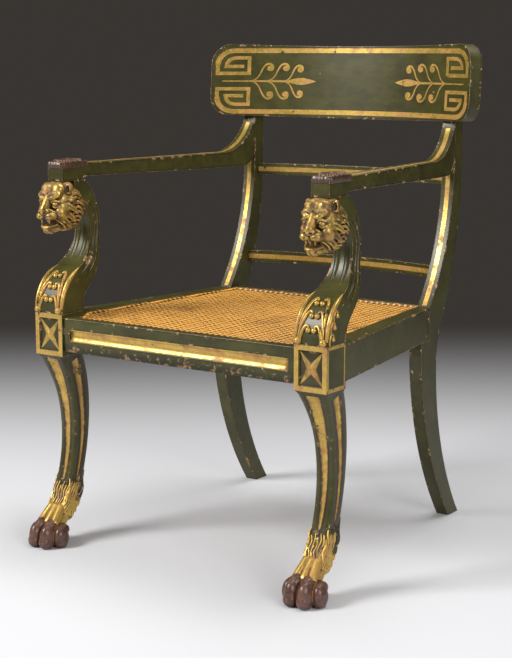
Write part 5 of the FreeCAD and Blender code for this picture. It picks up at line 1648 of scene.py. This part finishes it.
class ARMCHAIR_OT_stage(bpy.types.Operator):
    """Set the floor, the soft light and the camera"""

    bl_idname = "armchair.stage"
    bl_label = "Stage"

    def execute(self, context):
        colours = context.scene.armchair_colours
        scene = context.scene
        scene.view_settings.view_transform = "Standard"
        self.floor(colours)
        self.world(scene, colours)
        self.lamp("key", place=(-1.55, -2.2, 2.2), target=(0, 0, 0.5), size=1.1, power=118)
        self.lamp("fill", place=(2.4, -1.2, 1.3), target=(0, 0, 0.45), size=1.2, power=36)
        self.lamp("top", place=(0.3, 0.4, 2.7), target=(0, 0, 0.5), size=1.5, power=52)
        self.camera(scene)
        return {"FINISHED"}

    def camera(self, scene):
        """The viewpoint of the photograph: in front, to the right and looking a little down."""
        to_the_right, in_front, eye_height = 1.52095, 1.97739, 0.8463
        degrees_down, degrees_left = 10.0784, 34.4655
        camera = bpy.data.cameras.new("camera")
        camera.lens = 86.43
        camera.sensor_width = 36.0
        camera.clip_end = 100
        viewer = bpy.data.objects.new("camera", camera)
        viewer.location = (to_the_right, BLOCK_FRONT - in_front, eye_height)
        viewer.rotation_euler = (math.radians(90 - degrees_down), 0, math.radians(degrees_left))
        scene.collection.objects.link(viewer)
        scene.camera = viewer

    def floor(self, colours):
        """A wide plain floor that turns into the backdrop behind the chair."""
        reach = 40.0
        corners = [(-reach, -reach, 0), (reach, -reach, 0), (reach, reach, 0), (-reach, reach, 0)]
        mesh = mesh_from("floor", corners, [(0, 1, 2, 3)], smooth=False)
        finish = Finish("floor")
        away_from_lens = (-0.566, 0.824, 0)
        away = finish.add("ShaderNodeVectorMath", {0: finish.place(), 1: away_from_lens},
                          operation="DOT_PRODUCT")
        far = Amount(finish, away.outputs["Value"]).step(0.2, 2.2)
        glow = finish.add("ShaderNodeEmission", {"Color": colours.backdrop})
        both = finish.add("ShaderNodeMixShader", {0: far, 1: finish.shader.outputs[0], 2: glow.outputs[0]})
        finish.give(finish.nodes["Material Output"].inputs["Surface"], both.outputs[0])
        mesh.materials.append(finish.finish(Base_Color=colours.floor, Roughness=0.7, Specular_IOR_Level=0.2))
        floor = bpy.data.objects.new("floor", mesh)
        bpy.context.scene.collection.objects.link(floor)

    def world(self, scene, colours):
        """Even soft light, and the plain backdrop where the camera or a reflection looks past the floor."""
        world = bpy.data.worlds.new("studio")
        scene.world = world
        world.use_nodes = True
        nodes = Nodes(world.node_tree)
        light = nodes.nodes["Background"]
        soft_white = (0.86, 0.82, 0.76)
        nodes.give(light.inputs["Color"], soft_white)
        nodes.give(light.inputs["Strength"], 0.28)
        backdrop = nodes.add("ShaderNodeBackground", {"Color": colours.backdrop})
        ray = nodes.add("ShaderNodeLightPath").outputs
        seen = Amount(nodes, ray["Is Camera Ray"])
        for kind in ("Is Glossy Ray", "Is Transmission Ray"):
            seen = seen.larger(ray[kind])
        both = nodes.add("ShaderNodeMixShader", {0: seen, 1: light.outputs[0], 2: backdrop.outputs[0]})
        nodes.give(nodes.nodes["World Output"].inputs["Surface"], both.outputs[0])

    def lamp(self, name, place, target, size, power):
        """A square soft light that faces its target."""
        data = bpy.data.lights.new(name, "AREA")
        data.shape = "SQUARE"
        data.size = size
        data.energy = power
        warm_white = (1.0, 0.96, 0.90)
        data.color = warm_white
        lamp = bpy.data.objects.new(name, data)
        lamp.location = place
        lamp.rotation_euler = (Vector(target) - Vector(place)).to_track_quat("-Z", "Y").to_euler()
        bpy.context.scene.collection.objects.link(lamp)


class ARMCHAIR_PT_pieces(bpy.types.Panel):
    """Buttons for each group of pieces, with the sizes and colours"""

    bl_idname = "ARMCHAIR_PT_pieces"
    bl_label = "Painted armchair"
    bl_space_type = "VIEW_3D"
    bl_region_type = "UI"
    bl_category = "Armchair"

    def draw(self, context):
        for operator in OPERATORS:
            self.layout.operator(operator.bl_idname)
        for group in (context.scene.armchair_sizes, context.scene.armchair_colours):
            for name in group.bl_rna.properties.keys():
                if name not in ("rna_type", "name"):
                    self.layout.prop(group, name)


OPERATORS = (
    ARMCHAIR_OT_stage,
    ARMCHAIR_OT_crest,
    ARMCHAIR_OT_back,
    ARMCHAIR_OT_seat_frame,
    ARMCHAIR_OT_cane,
    ARMCHAIR_OT_front_legs,
    ARMCHAIR_OT_arm_supports,
    ARMCHAIR_OT_lion_masks,
    ARMCHAIR_OT_arms,
    ARMCHAIR_OT_joinery,
)
CLASSES = (ArmchairSizes, ArmchairColours) + OPERATORS + (ARMCHAIR_PT_pieces,)


def register():
    for item in CLASSES:
        bpy.utils.register_class(item)
    bpy.types.Scene.armchair_sizes = bpy.props.PointerProperty(type=ArmchairSizes)
    bpy.types.Scene.armchair_colours = bpy.props.PointerProperty(type=ArmchairColours)


def unregister():
    del bpy.types.Scene.armchair_colours
    del bpy.types.Scene.armchair_sizes
    for item in reversed(CLASSES):
        bpy.utils.unregister_class(item)


def main():
    register()
    bpy.ops.armchair.stage()
    bpy.ops.armchair.crest()
    bpy.ops.armchair.back()
    bpy.ops.armchair.seat_frame()
    bpy.ops.armchair.cane()
    bpy.ops.armchair.front_legs()
    bpy.ops.armchair.arm_supports()
    bpy.ops.armchair.lion_masks()
    bpy.ops.armchair.arms()
    bpy.ops.armchair.joinery()


if __name__ == "__main__":
    main()
